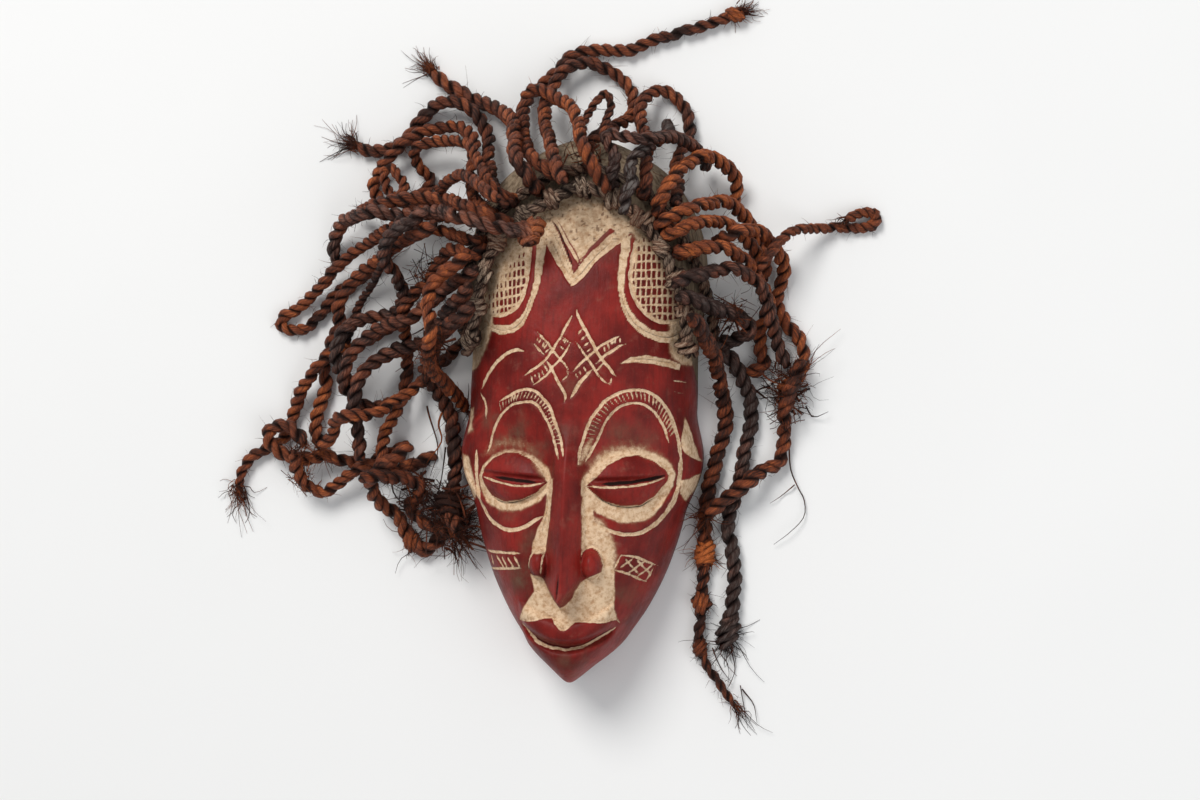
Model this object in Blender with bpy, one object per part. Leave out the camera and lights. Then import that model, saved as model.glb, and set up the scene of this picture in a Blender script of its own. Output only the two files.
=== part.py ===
"""A carved wooden face mask with a wig of twisted fibre ropes, lying on its back, face up.

The rim lies on z = 0, the face looks along +Z, the top of the head points along +Y
and the viewer's right is +X. The origin is the middle of the carved wood's footprint.
"""
import math

import bmesh
import bpy
import numpy as np

# Carved shell, in metres
MASK_LENGTH = 0.291
MASK_WIDTH = 0.121
FACE_DEPTH = 0.065
FRONT_WALL = 0.013
SIDE_WALL = 0.008
SECTION_BULGE = 2.6
SECTION_ROUND = 2.2
CHIN_SQUARENESS = 5.0
CROWN_SQUARENESS = 2.3
# Fullness of the outline against an ellipse, at shares of the half length from chin to crown
OUTLINE_FULLNESS = (
    (-1.0, 0.36), (-0.95, 0.55), (-0.9, 0.74), (-0.8, 0.86), (-0.65, 0.95), (-0.5, 0.99),
    (0.0, 1.01), (0.24, 1.04), (0.5, 1.24), (0.75, 1.385), (0.9, 1.4), (1.0, 1.18),
)

# Eyes, with places measured from the mask's middle
EYE_OFFSET = 0.0295
EYE_Y = -0.036
EYE_LENGTH = 0.038
EYE_HEIGHT = 0.027
EYE_TILT = math.radians(4.0)
EYE_BULGE = 0.0085
SLIT_WIDTH = 0.005
SLIT_DEPTH = 0.0030
SOCKET_Y = -0.029
SOCKET_WIDTH = 0.047
SOCKET_HEIGHT = 0.066
SOCKET_DEPTH = 0.0065

# Nose
NOSE_TOP_Y = -0.016
NOSE_TIP_Y = -0.102
NOSE_HEIGHT = 0.019
BRIDGE_WIDTH = 0.017
NOSE_WIDTH = 0.023
NOSE_LEAN = -0.0015
NOSE_SLANT = 1.3
WING_Y = -0.080
WING_OFFSET = 0.0138
WING_WIDTH = 0.0105
WING_LENGTH = 0.0155
WING_HEIGHT = 0.0085

# Mouth
MOUTH_Y = -0.1235
MOUTH_WIDTH = 0.050
MOUTH_CURVE = 0.010
UPPER_LIP = 0.014
LIP_HEIGHT = 0.0045
MOUTH_GROOVE = 0.0035
MOUTH_GROOVE_WIDTH = 0.005

# Ears, carved on the sides
EAR_Y = -0.028
EAR_LENGTH = 0.046
EAR_OUT = 0.0055
EAR_RIDGE = 0.004

# Wig
BAND_RADIUS = 0.0048
BAND_KNOT_PITCH = 0.0180
BAND_KNOT_SWELL = 0.35
BRAID_RADIUS = 0.0034
BRAID_SPACING = 0.0098
BRAID_STEP = 0.0115
TOUCH_GAP = 0.0003
BAND_GAP = 0.0011
ROPE_GAP = 0.0006
# Share of its own radius that a rope's solid has, which leaves room for its straight runs to turn
ROPE_SLIMNESS = 0.97
ROPE_SAG_RADIUS = 0.025
ROPE_STEP = 0.0145
RUN_SAMPLES = 5
LAYING_ROUNDS = 500

# The map of heights that the ropes lie on
MAP_CELL = 0.0015
MAP_MARGIN = 0.015
MAP_TUBE_STEP = 0.002

# Rows and columns of the carved surface, and columns of the hollow behind it
FACE_ROWS = 27
CROWN_ROWS = 11
FACE_COLUMNS = 15
HOLLOW_COLUMNS = 4

# The hairline, chosen by hand, in millimetres from the mask's middle
HAIRLINE = (
    (-59, 27), (-53, 39), (-51, 54), (-47, 72), (-40, 87), (-29, 97), (-17, 105), (-6, 112), (5, 114),
    (16, 110), (27, 104), (37, 95), (46, 81), (53, 65), (57, 49), (58, 33),
)

# The ropes' routes were chosen on the mask as it hangs, a little out of plumb
HANG_TILT = math.radians(1.6)
HANG_SHIFT = (3.3, -1.0)
ROUTE_UNIT = 0.001

# Ropes in the order that they lie, lowest first: name, diameter in millimetres and route
ROPES = (
    ("rope_lock_01", 7.6, ((-12, 122), (-20, 128), (-28, 137), (-33, 148), (-35, 160), (-32, 170),
                           (-25, 176), (-18, 183), (-10, 191), (0, 194), (12, 194), (24, 195),
                           (36, 200), (48, 203), (60, 206), (71, 209), (81, 213))),
    ("rope_lock_02", 7.4, ((-8, 124), (-14, 138), (-20, 150), (-22, 161), (-19, 171), (-16, 179),
                           (-9, 185), (0, 187), (8, 184), (16, 179), (23, 171), (25, 162),
                           (21, 154), (13, 148), (6, 141), (3, 131))),
    ("rope_lock_03", 5.0, ((6, 129), (3, 140), (3, 150), (7, 159), (12, 165), (16, 160), (14, 151),
                           (12, 142))),
    ("rope_lock_04", 7.2, ((36, 113), (36, 128), (34, 142), (29, 154), (30, 165), (38, 171),
                           (47, 167), (53, 158), (54, 149), (50, 139), (48, 129), (51, 117),
                           (50, 105))),
    ("rope_lock_05", 7.0, ((28, 110), (31, 117), (29, 124), (35, 133), (42, 140), (45, 147),
                           (42, 154))),
    ("rope_lock_06", 7.0, ((18, 118), (22, 127), (18, 136), (16, 141), (26, 139), (36, 137),
                           (45, 140), (52, 140), (59, 137), (63, 129))),
    ("rope_lock_07", 7.4, ((12, 121), (7, 131), (3, 140), (0, 149), (-4, 157), (-11, 163),
                           (-19, 168), (-27, 172), (-34, 168))),
    ("rope_lock_08", 8.4, ((-22, 117), (-29, 129), (-34, 142), (-38, 153), (-45, 160), (-53, 165),
                           (-62, 168), (-71, 173), (-79, 178), (-86, 184))),
    ("rope_lock_09", 7.6, ((-40, 109), (-47, 121), (-52, 134), (-54, 147), (-59, 158), (-67, 165),
                           (-77, 168), (-87, 164), (-95, 157), (-101, 149), (-110, 143),
                           (-120, 141), (-129, 145))),
    ("rope_lock_10", 7.4, ((-47, 103), (-55, 110), (-60, 121), (-60, 133), (-61, 145), (-69, 153),
                           (-80, 154), (-91, 151), (-101, 145), (-109, 138), (-116, 130),
                           (-119, 121), (-115, 112))),
    ("rope_lock_11", 6.6, ((-45, 117), (-53, 130), (-63, 142), (-74, 144), (-85, 145), (-95, 141),
                           (-94, 132), (-88, 127), (-91, 119), (-99, 115))),
    ("rope_lock_12", 6.6, ((-44, 112), (-55, 120), (-66, 123), (-77, 119), (-86, 112), (-97, 111))),
    ("rope_lock_13", 6.2, ((-86, 106), (-97, 110), (-105, 115), (-111, 124), (-110, 132),
                           (-103, 127), (-98, 120), (-101, 111))),
    ("rope_lock_14", 7.8, ((-42, 99), (-54, 104), (-67, 109), (-82, 112), (-98, 112), (-113, 110),
                           (-126, 107))),
    ("rope_lock_15", 8.2, ((-18, 90), (-27, 91), (-37, 93), (-47, 95), (-57, 98), (-69, 102),
                           (-82, 104), (-95, 103), (-110, 105), (-124, 104), (-135, 100),
                           (-141, 91), (-139, 81))),
    ("rope_lock_16", 7.0, ((-56, 88), (-69, 93), (-83, 96), (-96, 97), (-108, 94), (-120, 90),
                           (-131, 84), (-139, 77), (-147, 69), (-155, 62), (-163, 55), (-171, 50),
                           (-171, 45), (-162, 44), (-153, 49), (-146, 57), (-139, 65), (-130, 70),
                           (-121, 76), (-113, 84))),
    ("rope_lock_17", 8.0, ((-82, 92), (-95, 88), (-108, 82), (-120, 76), (-131, 68), (-138, 58),
                           (-139, 46), (-144, 34), (-148, 23), (-146, 12), (-150, 1), (-152, -10),
                           (-148, -21))),
    ("rope_lock_18", 7.4, ((-112, 45), (-124, 38), (-136, 32), (-146, 27), (-153, 18), (-160, 9),
                           (-165, -2), (-169, -13), (-177, -20), (-187, -25), (-194, -33),
                           (-196, -42))),
    ("rope_lock_19", 8.0, ((-96, -29), (-108, -33), (-121, -32), (-133, -29), (-144, -25),
                           (-155, -27), (-165, -25), (-174, -20), (-176, -12), (-168, -9),
                           (-160, -12), (-156, -19))),
    ("rope_lock_20", 7.4, ((-110, -24), (-120, -29), (-130, -34), (-138, -41), (-147, -45),
                           (-155, -41), (-159, -33), (-158, -24))),
    ("rope_lock_21", 4.8, ((-98, 93), (-104, 86), (-107, 77), (-113, 70), (-120, 63), (-126, 55),
                           (-130, 46), (-132, 36))),
    ("rope_lock_22", 7.8, ((-86, 97), (-96, 91), (-102, 81), (-99, 71), (-97, 61), (-103, 53),
                           (-114, 51), (-124, 49), (-132, 42), (-136, 32), (-135, 21), (-130, 12))),
    ("rope_lock_23", 7.4, ((-56, 80), (-66, 84), (-74, 78), (-80, 69), (-89, 62), (-96, 54),
                           (-99, 43), (-100, 31), (-101, 18), (-104, 6), (-108, -5), (-111, -16),
                           (-111, -28), (-108, -38))),
    ("rope_lock_24", 8.0, ((-60, 68), (-70, 64), (-79, 57), (-88, 50), (-100, 46), (-112, 43),
                           (-122, 36), (-129, 26), (-131, 14), (-126, 4), (-116, 1), (-108, 5))),
    ("rope_lock_25", 8.2, ((-62, 57), (-72, 50), (-81, 41), (-91, 35), (-103, 32), (-114, 27),
                           (-121, 19), (-124, 8), (-125, -4), (-124, -16), (-123, -27))),
    ("rope_lock_26", 7.4, ((-84, 24), (-93, 14), (-103, 5), (-113, -2), (-124, -3), (-134, -5),
                           (-138, -13), (-146, -20))),
    ("rope_lock_27", 8.6, ((-104, -26), (-114, -34), (-117, -44), (-111, -53), (-104, -61),
                           (-99, -71), (-91, -77), (-83, -71), (-75, -63))),
    ("rope_lock_28", 8.2, ((-107, -36), (-97, -37), (-91, -44), (-97, -53), (-90, -61), (-79, -64),
                           (-70, -68))),
    ("rope_lock_29", 7.6, ((-60, 47), (-70, 40), (-79, 31), (-86, 21), (-82, 9), (-77, -3),
                           (-74, -16), (-73, -29), (-74, -42), (-75, -54), (-69, -65))),
    ("rope_lock_30", 8.0, ((-62, 74), (-72, 67), (-76, 56), (-72, 45), (-74, 33), (-78, 22),
                           (-73, 11), (-69, 1))),
    ("rope_lock_31", 7.8, ((42, 104), (48, 116), (55, 127), (64, 133), (73, 130), (79, 121),
                           (77, 110))),
    ("rope_lock_32", 7.6, ((46, 97), (57, 102), (67, 107), (76, 109), (84, 102), (89, 91),
                           (94, 80), (94, 69))),
    ("rope_lock_33", 7.4, ((50, 90), (61, 95), (72, 98), (81, 94), (88, 86), (92, 76))),
    ("rope_lock_34", 7.8, ((68, 86), (80, 91), (91, 94), (99, 87), (104, 77), (102, 66), (100, 56),
                           (105, 47), (112, 38), (115, 27), (111, 16), (102, 11))),
    ("rope_lock_35", 5.0, ((98, 82), (107, 92), (118, 96), (131, 97), (144, 97), (153, 99),
                           (153, 105), (144, 105), (137, 101))),
    ("rope_lock_36", 7.8, ((55, 81), (66, 83), (77, 83), (86, 77), (92, 67), (96, 56), (92, 45),
                           (91, 34), (94, 25), (84, 20), (76, 22))),
    ("rope_lock_37", 8.0, ((60, 68), (70, 71), (81, 73), (90, 68), (96, 58), (98, 46), (101, 34),
                           (106, 23))),
    ("rope_lock_38", 7.8, ((63, 55), (74, 51), (84, 48), (87, 41), (78, 37), (70, 33), (78, 25),
                           (83, 14), (87, 2), (86, -10), (83, -22), (82, -34), (79, -46),
                           (75, -58), (76, -71), (78, -84), (77, -97), (76, -110), (74, -122))),
    ("rope_lock_39", 7.8, ((65, 38), (70, 26), (71, 14), (73, 1), (72, -12), (68, -25), (65, -39),
                           (62, -53), (62, -67), (62, -81), (61, -95), (60, -109), (59, -123),
                           (62, -136), (70, -147), (78, -158))),
    ("rope_lock_40", 8.4, ((110, 16), (106, 6), (104, -6), (105, -18), (101, -28), (91, -34),
                           (82, -41), (72, -48), (64, -56))),
)


def clear_scene():
    for obj in list(bpy.data.objects):
        bpy.data.objects.remove(obj, do_unlink=True)


def make_material(name, colour, roughness):
    material = bpy.data.materials.new(name)
    material.use_nodes = True
    shader = material.node_tree.nodes["Principled BSDF"]
    shader.inputs["Base Color"].default_value = (*colour, 1.0)
    shader.inputs["Roughness"].default_value = roughness
    shader.inputs["Metallic"].default_value = 0.0
    material.diffuse_color = (*colour, 1.0)
    return material


def add_object(name, data, material):
    data.materials.append(material)
    obj = bpy.data.objects.new(name, data)
    bpy.context.collection.objects.link(obj)
    return obj


def smooth_through(stations, values):
    """Values of a smooth curve through (place, value) stations."""
    places = np.array([s[0] for s in stations])
    levels = np.array([s[1] for s in stations])
    slopes = np.gradient(levels, places)
    values = np.clip(values, places[0], places[-1])
    k = np.clip(np.searchsorted(places, values, side="right") - 1, 0, len(places) - 2)
    span = places[k + 1] - places[k]
    s = (values - places[k]) / span
    return (
        levels[k] * (1 + 2 * s) * (1 - s) ** 2 + slopes[k] * span * s * (1 - s) ** 2
        + levels[k + 1] * s * s * (3 - 2 * s) + slopes[k + 1] * span * s * s * (s - 1)
    )


def smoothstep(low, high, values):
    s = np.clip((values - low) / (high - low), 0.0, 1.0)
    return s * s * (3 - 2 * s)


def hill(distance):
    """One at no distance, falling smoothly to nothing at a distance of one."""
    return np.clip(1 - distance * distance, 0.0, None) ** 2


def half_width(y, length=MASK_LENGTH, width=MASK_WIDTH):
    """Half the head's width at a place along it, without the ears."""
    t = np.clip(2 * y / length, -1.0, 1.0)
    return width / 2 * np.sqrt(1 - t * t) * smooth_through(OUTLINE_FULLNESS, t)


def outline_half_width(y):
    """Half the carved wood's width, with the ears."""
    return half_width(y) + EAR_OUT * hill((y - EAR_Y) / (0.62 * EAR_LENGTH))


def lengthwise(y, length):
    """Height of the middle of the shell as a share of its depth, from chin to crown."""
    t = np.clip(2 * y / length, -1.0, 1.0)
    chin = (1 - np.abs(t) ** CHIN_SQUARENESS) ** (1 / CHIN_SQUARENESS)
    crown = (1 - np.abs(t) ** CROWN_SQUARENESS) ** (1 / CROWN_SQUARENESS)
    return np.where(t < 0, chin * (1 + 0.07 * t), crown)


def across(u):
    """Height across the shell as a share of its middle's, u being the share of the half width."""
    u = np.clip(np.abs(u), 0.0, 1.0)
    return (1 - u ** SECTION_BULGE) ** (1 / SECTION_ROUND)


def eye_frame(x, y):
    """Place in an eye's own axes, as shares of its half length and half height."""
    dx = np.abs(x) - EYE_OFFSET
    dy = y - EYE_Y
    along = (dx * math.cos(EYE_TILT) + dy * math.sin(EYE_TILT)) / (EYE_LENGTH / 2)
    up = (dy * math.cos(EYE_TILT) - dx * math.sin(EYE_TILT)) / (EYE_HEIGHT / 2)
    return along, up


def eye_relief(x, y):
    socket = np.hypot((np.abs(x) - EYE_OFFSET) / (SOCKET_WIDTH / 2), (y - SOCKET_Y) / (SOCKET_HEIGHT / 2))
    along, up = eye_frame(x, y)
    lens = np.clip(1 - along ** 2 - np.abs(up) ** 1.6, 0.0, None) ** 0.6
    slit = hill(up * EYE_HEIGHT / SLIT_WIDTH) * smoothstep(1.0, 0.8, np.abs(along))
    return -SOCKET_DEPTH * hill(np.minimum(socket, 1.0)) ** 0.5 + EYE_BULGE * lens - SLIT_DEPTH * slit


def nose_relief(x, y):
    """A ridge that widens downwards, cut off under its tip in a V, with a wing on each side."""
    length = NOSE_TOP_Y - NOSE_TIP_Y
    s = (NOSE_TOP_Y - y) / length
    cut = (NOSE_TOP_Y - y + NOSE_SLANT * np.abs(x - NOSE_LEAN)) / length
    reach = smoothstep(-0.15, 0.25, s) * smoothstep(1.03, 0.96, cut)
    half = (BRIDGE_WIDTH + (NOSE_WIDTH - BRIDGE_WIDTH) * np.clip(s, 0.0, 1.0)) / 2
    ridge = np.clip(1 - (np.abs(x) / half) ** 1.25, 0.0, 1.0)
    rise = NOSE_HEIGHT * (0.45 + 0.55 * np.clip(s, 0.0, 1.0))
    wing = np.hypot((np.abs(x) - WING_OFFSET) / (WING_WIDTH / 2), (y - WING_Y) / (WING_LENGTH / 2))
    return np.maximum(rise * reach * ridge, WING_HEIGHT * np.clip(1 - wing * wing, 0.0, None) ** 0.5)


def mouth_relief(x, y):
    share = np.abs(x) / (MOUTH_WIDTH / 2)
    line = MOUTH_Y + MOUTH_CURVE * share ** 2
    fade = smoothstep(1.05, 0.85, share)
    above = (y - line) / UPPER_LIP
    upper = np.clip(4 * above * (1 - above), 0.0, None) ** 0.5
    below = smoothstep(0.0, 0.25, (line - y) / UPPER_LIP)
    groove = hill(np.minimum(np.abs(y - line) / MOUTH_GROOVE_WIDTH, 1.0))
    return fade * (LIP_HEIGHT * np.where(y > line, upper, 0.8 * below) - MOUTH_GROOVE * groove)


def ear_relief(x, y, u):
    """A C-shaped ridge on each side, open to the face."""
    up = (y - EAR_Y) / (EAR_LENGTH / 2)
    reach = 0.80 + 0.15 * np.clip(1 - up * up, 0.0, 1.0)
    ring = np.abs(np.abs(u) - reach) / 0.07
    return EAR_RIDGE * hill(np.minimum(ring, 1.0)) * smoothstep(1.15, 0.85, np.abs(up))


def mask_height(x, y):
    """Height of the carved face above the rim's plane."""
    width = np.maximum(outline_half_width(y), 1e-6)
    u = np.abs(x) / width
    base = FACE_DEPTH * lengthwise(y, MASK_LENGTH) * across(u)
    inside = smoothstep(1.0, 0.9, u) * smoothstep(0.0, 0.25, lengthwise(y, MASK_LENGTH))
    carving = eye_relief(x, y) + nose_relief(x, y) + mouth_relief(x, y) + ear_relief(x, y, u)
    return np.where(u < 1, base + carving * inside, 0.0)


def hollow_height(x, y):
    """Height of the hollow behind the face above the rim's plane."""
    length = MASK_LENGTH - 2 * SIDE_WALL
    width = np.maximum(half_width(y, length, MASK_WIDTH - 2 * SIDE_WALL), 1e-6)
    return (FACE_DEPTH - FRONT_WALL) * lengthwise(y, length) * across(np.abs(x) / width)


def row_places():
    """Places along the mask, closer over the face and where the ends round over."""
    ends = (0.9985, 0.990, 0.972, 0.945)
    face = np.linspace(-0.90, 0.06, FACE_ROWS)
    crown = np.linspace(0.13, 0.90, CROWN_ROWS)
    return np.concatenate((-np.array(ends), face, crown, np.array(ends[::-1])))


def column_places(count):
    """Shares of the half width, closer to each other at the sides."""
    v = np.linspace(-1.0, 1.0, 2 * count + 1)
    return 0.45 * v + 0.55 * np.sin(v * math.pi / 2)


def mask_mesh():
    """The shell: face grid, hollow grid and the flat rim that joins them."""
    mesh = bmesh.new()
    rows = row_places()
    faces = build_grid(mesh, rows * MASK_LENGTH / 2, column_places(FACE_COLUMNS), outline_half_width, mask_height,
                       MASK_LENGTH / 2)
    inner_length = MASK_LENGTH - 2 * SIDE_WALL
    hollow = build_grid(
        mesh, rows * inner_length / 2, column_places(HOLLOW_COLUMNS),
        lambda y: half_width(y, inner_length, MASK_WIDTH - 2 * SIDE_WALL), hollow_height, inner_length / 2,
    )
    outer, inner = rim_loop(faces), rim_loop(hollow)
    for k in range(len(outer)):
        n = (k + 1) % len(outer)
        mesh.faces.new((outer[k], outer[n], inner[n], inner[k]))
    bmesh.ops.recalc_face_normals(mesh, faces=mesh.faces)
    bmesh.ops.triangulate(mesh, faces=mesh.faces)
    data = bpy.data.meshes.new("mask")
    mesh.to_mesh(data)
    mesh.free()
    data.shade_smooth()
    return data


def build_grid(mesh, rows, columns, width_of, height_of, half_length):
    """A surface over the outline, with one vertex at the chin's end and one at the crown's."""
    grid = []
    for y in rows:
        x = columns * width_of(np.array(y))
        z = height_of(x, np.full_like(x, y))
        z[0] = 0.0
        z[-1] = 0.0
        grid.append([mesh.verts.new((float(a), float(y), float(b))) for a, b in zip(x, z)])
    chin = mesh.verts.new((0.0, -half_length, 0.0))
    crown = mesh.verts.new((0.0, half_length, 0.0))
    for a, b in zip(grid, grid[1:]):
        for k in range(len(columns) - 1):
            mesh.faces.new((a[k], a[k + 1], b[k + 1], b[k]))
    for k in range(len(columns) - 1):
        mesh.faces.new((chin, grid[0][k + 1], grid[0][k]))
        mesh.faces.new((crown, grid[-1][k], grid[-1][k + 1]))
    return grid, chin, crown


def rim_loop(surface):
    grid, chin, crown = surface
    right = [row[-1] for row in grid]
    left = [row[0] for row in reversed(grid)]
    return [chin, *right, crown, *left]


def through_points(points, step):
    """Evenly spaced points on a smooth curve through the points given."""
    points = np.array(points, dtype=float)
    ends = (2 * points[0] - points[1], 2 * points[-1] - points[-2])
    padded = np.vstack((ends[0], points, ends[1]))
    s = np.linspace(0.0, 1.0, 24, endpoint=False)[:, None]
    pieces = []
    for a, b, c, d in zip(padded, padded[1:], padded[2:], padded[3:]):
        pieces.append(0.5 * (2 * b + (c - a) * s + (2 * a - 5 * b + 4 * c - d) * s ** 2
                             + (3 * b - a - 3 * c + d) * s ** 3))
    dense = np.vstack((*pieces, points[-1:]))
    lengths = np.concatenate(([0.0], np.cumsum(np.hypot(*np.diff(dense, axis=0).T[:2]))))
    count = max(2, round(lengths[-1] / step))
    places = np.linspace(0.0, lengths[-1], count + 1)
    return np.column_stack([np.interp(places, lengths, dense[:, k]) for k in range(dense.shape[1])])


class Ground:
    """What a rope lies on: the floor, the carved wood and the wig's band, as a map of heights."""

    def __init__(self):
        reach_x = MASK_WIDTH / 2 + MAP_MARGIN
        reach_y = MASK_LENGTH / 2 + MAP_MARGIN
        self.x = np.arange(-reach_x, reach_x, MAP_CELL)
        self.y = np.arange(-reach_y, reach_y, MAP_CELL)
        across_x, along_y = np.meshgrid(self.x, self.y)
        self.heights = mask_height(across_x, along_y)
        self.known = {}

    def centre_heights(self, radius):
        """Lowest places for the centre of a ball of this radius that rests on the map."""
        if radius not in self.known:
            reach = int(math.ceil(radius / MAP_CELL))
            rows, columns = self.heights.shape
            padded = np.pad(self.heights, reach)
            lowest = np.full_like(self.heights, radius)
            for i in range(-reach, reach + 1):
                for j in range(-reach, reach + 1):
                    left = radius ** 2 - (i * i + j * j) * MAP_CELL ** 2
                    if left < 0:
                        continue
                    part = padded[reach + i:reach + i + rows, reach + j:reach + j + columns]
                    raised = np.where(part > 0, part + math.sqrt(left), radius)
                    lowest = np.maximum(lowest, raised)
            self.known[radius] = lowest
        return self.known[radius]

    def below(self, x, y, radius):
        """Lowest height of a ball's centre over each place."""
        heights = self.centre_heights(radius)
        column = (x - self.x[0]) / MAP_CELL
        row = (y - self.y[0]) / MAP_CELL
        inside = (column >= 0) & (row >= 0) & (column <= len(self.x) - 1) & (row <= len(self.y) - 1)
        column = np.clip(column, 0, len(self.x) - 1)
        row = np.clip(row, 0, len(self.y) - 1)
        result = np.full(len(x), radius)
        for i in (np.floor(row).astype(int), np.ceil(row).astype(int)):
            for j in (np.floor(column).astype(int), np.ceil(column).astype(int)):
                result = np.maximum(result, heights[i, j])
        return np.where(inside, result, radius)

    def add_tube(self, points, radii):
        """Puts a tube that lies on the map into it."""
        across_x, along_y = np.meshgrid(self.x, self.y)
        for (x, y, z), radius in zip(points, radii):
            left = radius ** 2 - (across_x - x) ** 2 - (along_y - y) ** 2
            self.heights = np.where(left > 0, np.maximum(self.heights, z + np.sqrt(np.clip(left, 0, None))),
                                    self.heights)
        self.known = {}


def lie_on(ground, route, radius, gap):
    """Puts a height to each point of a route, so that a tube of this radius just rests."""
    heights = ground.below(route[:, 0], route[:, 1], radius + gap)
    return np.column_stack((route, heights))


def hairline_route(offset, step):
    """The hairline, moved away from the face by an offset."""
    route = through_points(np.array(HAIRLINE) * ROUTE_UNIT, step)
    ahead = np.gradient(route, axis=0)
    ahead /= np.hypot(ahead[:, 0], ahead[:, 1])[:, None]
    outward = np.column_stack((-ahead[:, 1], ahead[:, 0]))
    return route + outward * offset


def band_path(ground):
    """Centre points and radii of the row of knots."""
    step = BAND_KNOT_PITCH / 2
    route = hairline_route(0.0, step)
    swell = np.where(np.arange(len(route)) % 2 == 1, 1 + BAND_KNOT_SWELL, 1.0)
    widest = BAND_RADIUS * (1 + BAND_KNOT_SWELL)
    return lie_on(ground, route, widest, BAND_GAP), BAND_RADIUS * swell


def tube_mesh(name, points, radii, sides):
    """A closed tube with a radius for each ring."""
    mesh = bmesh.new()
    rings = []
    ahead = np.gradient(points, axis=0)
    for point, direction, radius in zip(points, ahead, radii):
        direction = direction / np.linalg.norm(direction)
        aside = np.array((-direction[1], direction[0], 0.0))
        aside /= np.linalg.norm(aside)
        upward = np.cross(direction, aside)
        turns = [2 * math.pi * k / sides for k in range(sides)]
        rings.append([mesh.verts.new(point + radius * (math.cos(a) * aside + math.sin(a) * upward))
                      for a in turns])
    for a, b in zip(rings, rings[1:]):
        for k in range(sides):
            n = (k + 1) % sides
            mesh.faces.new((a[k], a[n], b[n], b[k]))
    mesh.faces.new(rings[0])
    mesh.faces.new(rings[-1])
    bmesh.ops.recalc_face_normals(mesh, faces=mesh.faces)
    bmesh.ops.triangulate(mesh, faces=mesh.faces)
    data = bpy.data.meshes.new(name)
    mesh.to_mesh(data)
    mesh.free()
    data.shade_smooth()
    return data


def tube_curve(name, points, radius):
    """A round tube along straight runs between the points, with closed ends."""
    curve = bpy.data.curves.new(name, "CURVE")
    curve.dimensions = "3D"
    curve.bevel_depth = radius
    curve.bevel_resolution = 2
    curve.use_fill_caps = True
    spline = curve.splines.new("POLY")
    spline.points.add(len(points) - 1)
    for place, point in zip(spline.points, points):
        place.co = (*(float(v) for v in point), 1.0)
    return curve


def hung_to_mask(route):
    """A route chosen on the hanging mask, in the mask's own axes and in metres."""
    route = np.array(route, dtype=float)
    x = route[:, 0] + HANG_SHIFT[0]
    y = route[:, 1] + HANG_SHIFT[1]
    c, s = math.cos(HANG_TILT), math.sin(HANG_TILT)
    return np.column_stack((x * c - y * s, x * s + y * c)) * ROUTE_UNIT


def lay_ropes(ground, step, samples):
    """Lays the ropes down one after another, each on the floor, the mask and the ropes below it.

    Each rope is a chain of points. Its runs are tested at a few samples each, a sample that is too
    low is lifted with the ends of its run, and the chain sags no tighter than a slack rope does.
    """
    chains = [through_points(hung_to_mask(route), step) for _, _, route in ROPES]
    radii = [diameter / 2 * ROUTE_UNIT for _, diameter, _ in ROPES]
    starts = np.cumsum([0] + [len(chain) for chain in chains])
    flat = np.vstack(chains)
    heights = np.concatenate([np.full(len(c), r) for c, r in zip(chains, radii)])
    first, share, size, owner, arc = [], [], [], [], []
    for index, chain in enumerate(chains):
        run = np.hypot(*np.diff(chain, axis=0).T)
        along = np.concatenate(([0.0], np.cumsum(run)))
        for k in range(len(chain) - 1):
            for m in range(samples):
                first.append(starts[index] + k)
                share.append(m / samples)
                size.append(radii[index])
                owner.append(index)
                arc.append(along[k] + run[k] * m / samples)
        first.append(starts[index] + len(chain) - 2)
        share.append(1.0)
        size.append(radii[index])
        owner.append(index)
        arc.append(along[-1])
    first, share, size, owner, arc = (np.array(v) for v in (first, share, size, owner, arc))
    places = flat[first] * (1 - share)[:, None] + flat[first + 1] * share[:, None]
    least = np.zeros(len(places))
    for radius in sorted(set(radii)):
        mine = size == radius
        least[mine] = ground.below(places[mine, 0], places[mine, 1], radius + TOUCH_GAP)
    lower, upper, rise = crossings(places, size, owner, arc)
    spread = (1 - share) ** 2 + share ** 2
    inner = np.ones(len(flat), dtype=bool)
    inner[starts[:-1]] = False
    inner[starts[1:] - 1] = False
    inner = np.nonzero(inner)[0]
    spacing = np.hypot(*(flat[inner + 1] - flat[inner]).T)
    sag = spacing ** 2 / (2 * ROPE_SAG_RADIUS)
    for _ in range(LAYING_ROUNDS):
        heights[inner] = np.maximum(heights[inner], (heights[inner - 1] + heights[inner + 1]) / 2 - sag)
        level = heights[first] * (1 - share) + heights[first + 1] * share
        wanted = np.maximum(least, level)
        np.maximum.at(wanted, upper, level[lower] + rise)
        lift = wanted - level
        lifted = heights.copy()
        np.maximum.at(lifted, first, heights[first] + lift * (1 - share) / spread)
        np.maximum.at(lifted, first + 1, heights[first + 1] + lift * share / spread)
        heights = lifted
    return [np.column_stack((chain, heights[a:b])) for chain, a, b in zip(chains, starts, starts[1:])]


def crossings(places, size, owner, arc):
    """Pairs of samples, the upper one laid later, and how far the upper stays above the lower."""
    lower, upper, rise = [], [], []
    for k in range(1, len(places)):
        apart = np.hypot(places[:k, 0] - places[k, 0], places[:k, 1] - places[k, 1])
        reach = size[:k] + size[k] + ROPE_GAP
        near = apart < reach
        near &= (owner[:k] != owner[k]) | (arc[k] - arc[:k] > 6 * size[k])
        found = np.nonzero(near)[0]
        lower.extend(found)
        upper.extend([k] * len(found))
        rise.extend(np.sqrt(reach[found] ** 2 - apart[found] ** 2))
    return np.array(lower), np.array(upper), np.array(rise)


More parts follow.
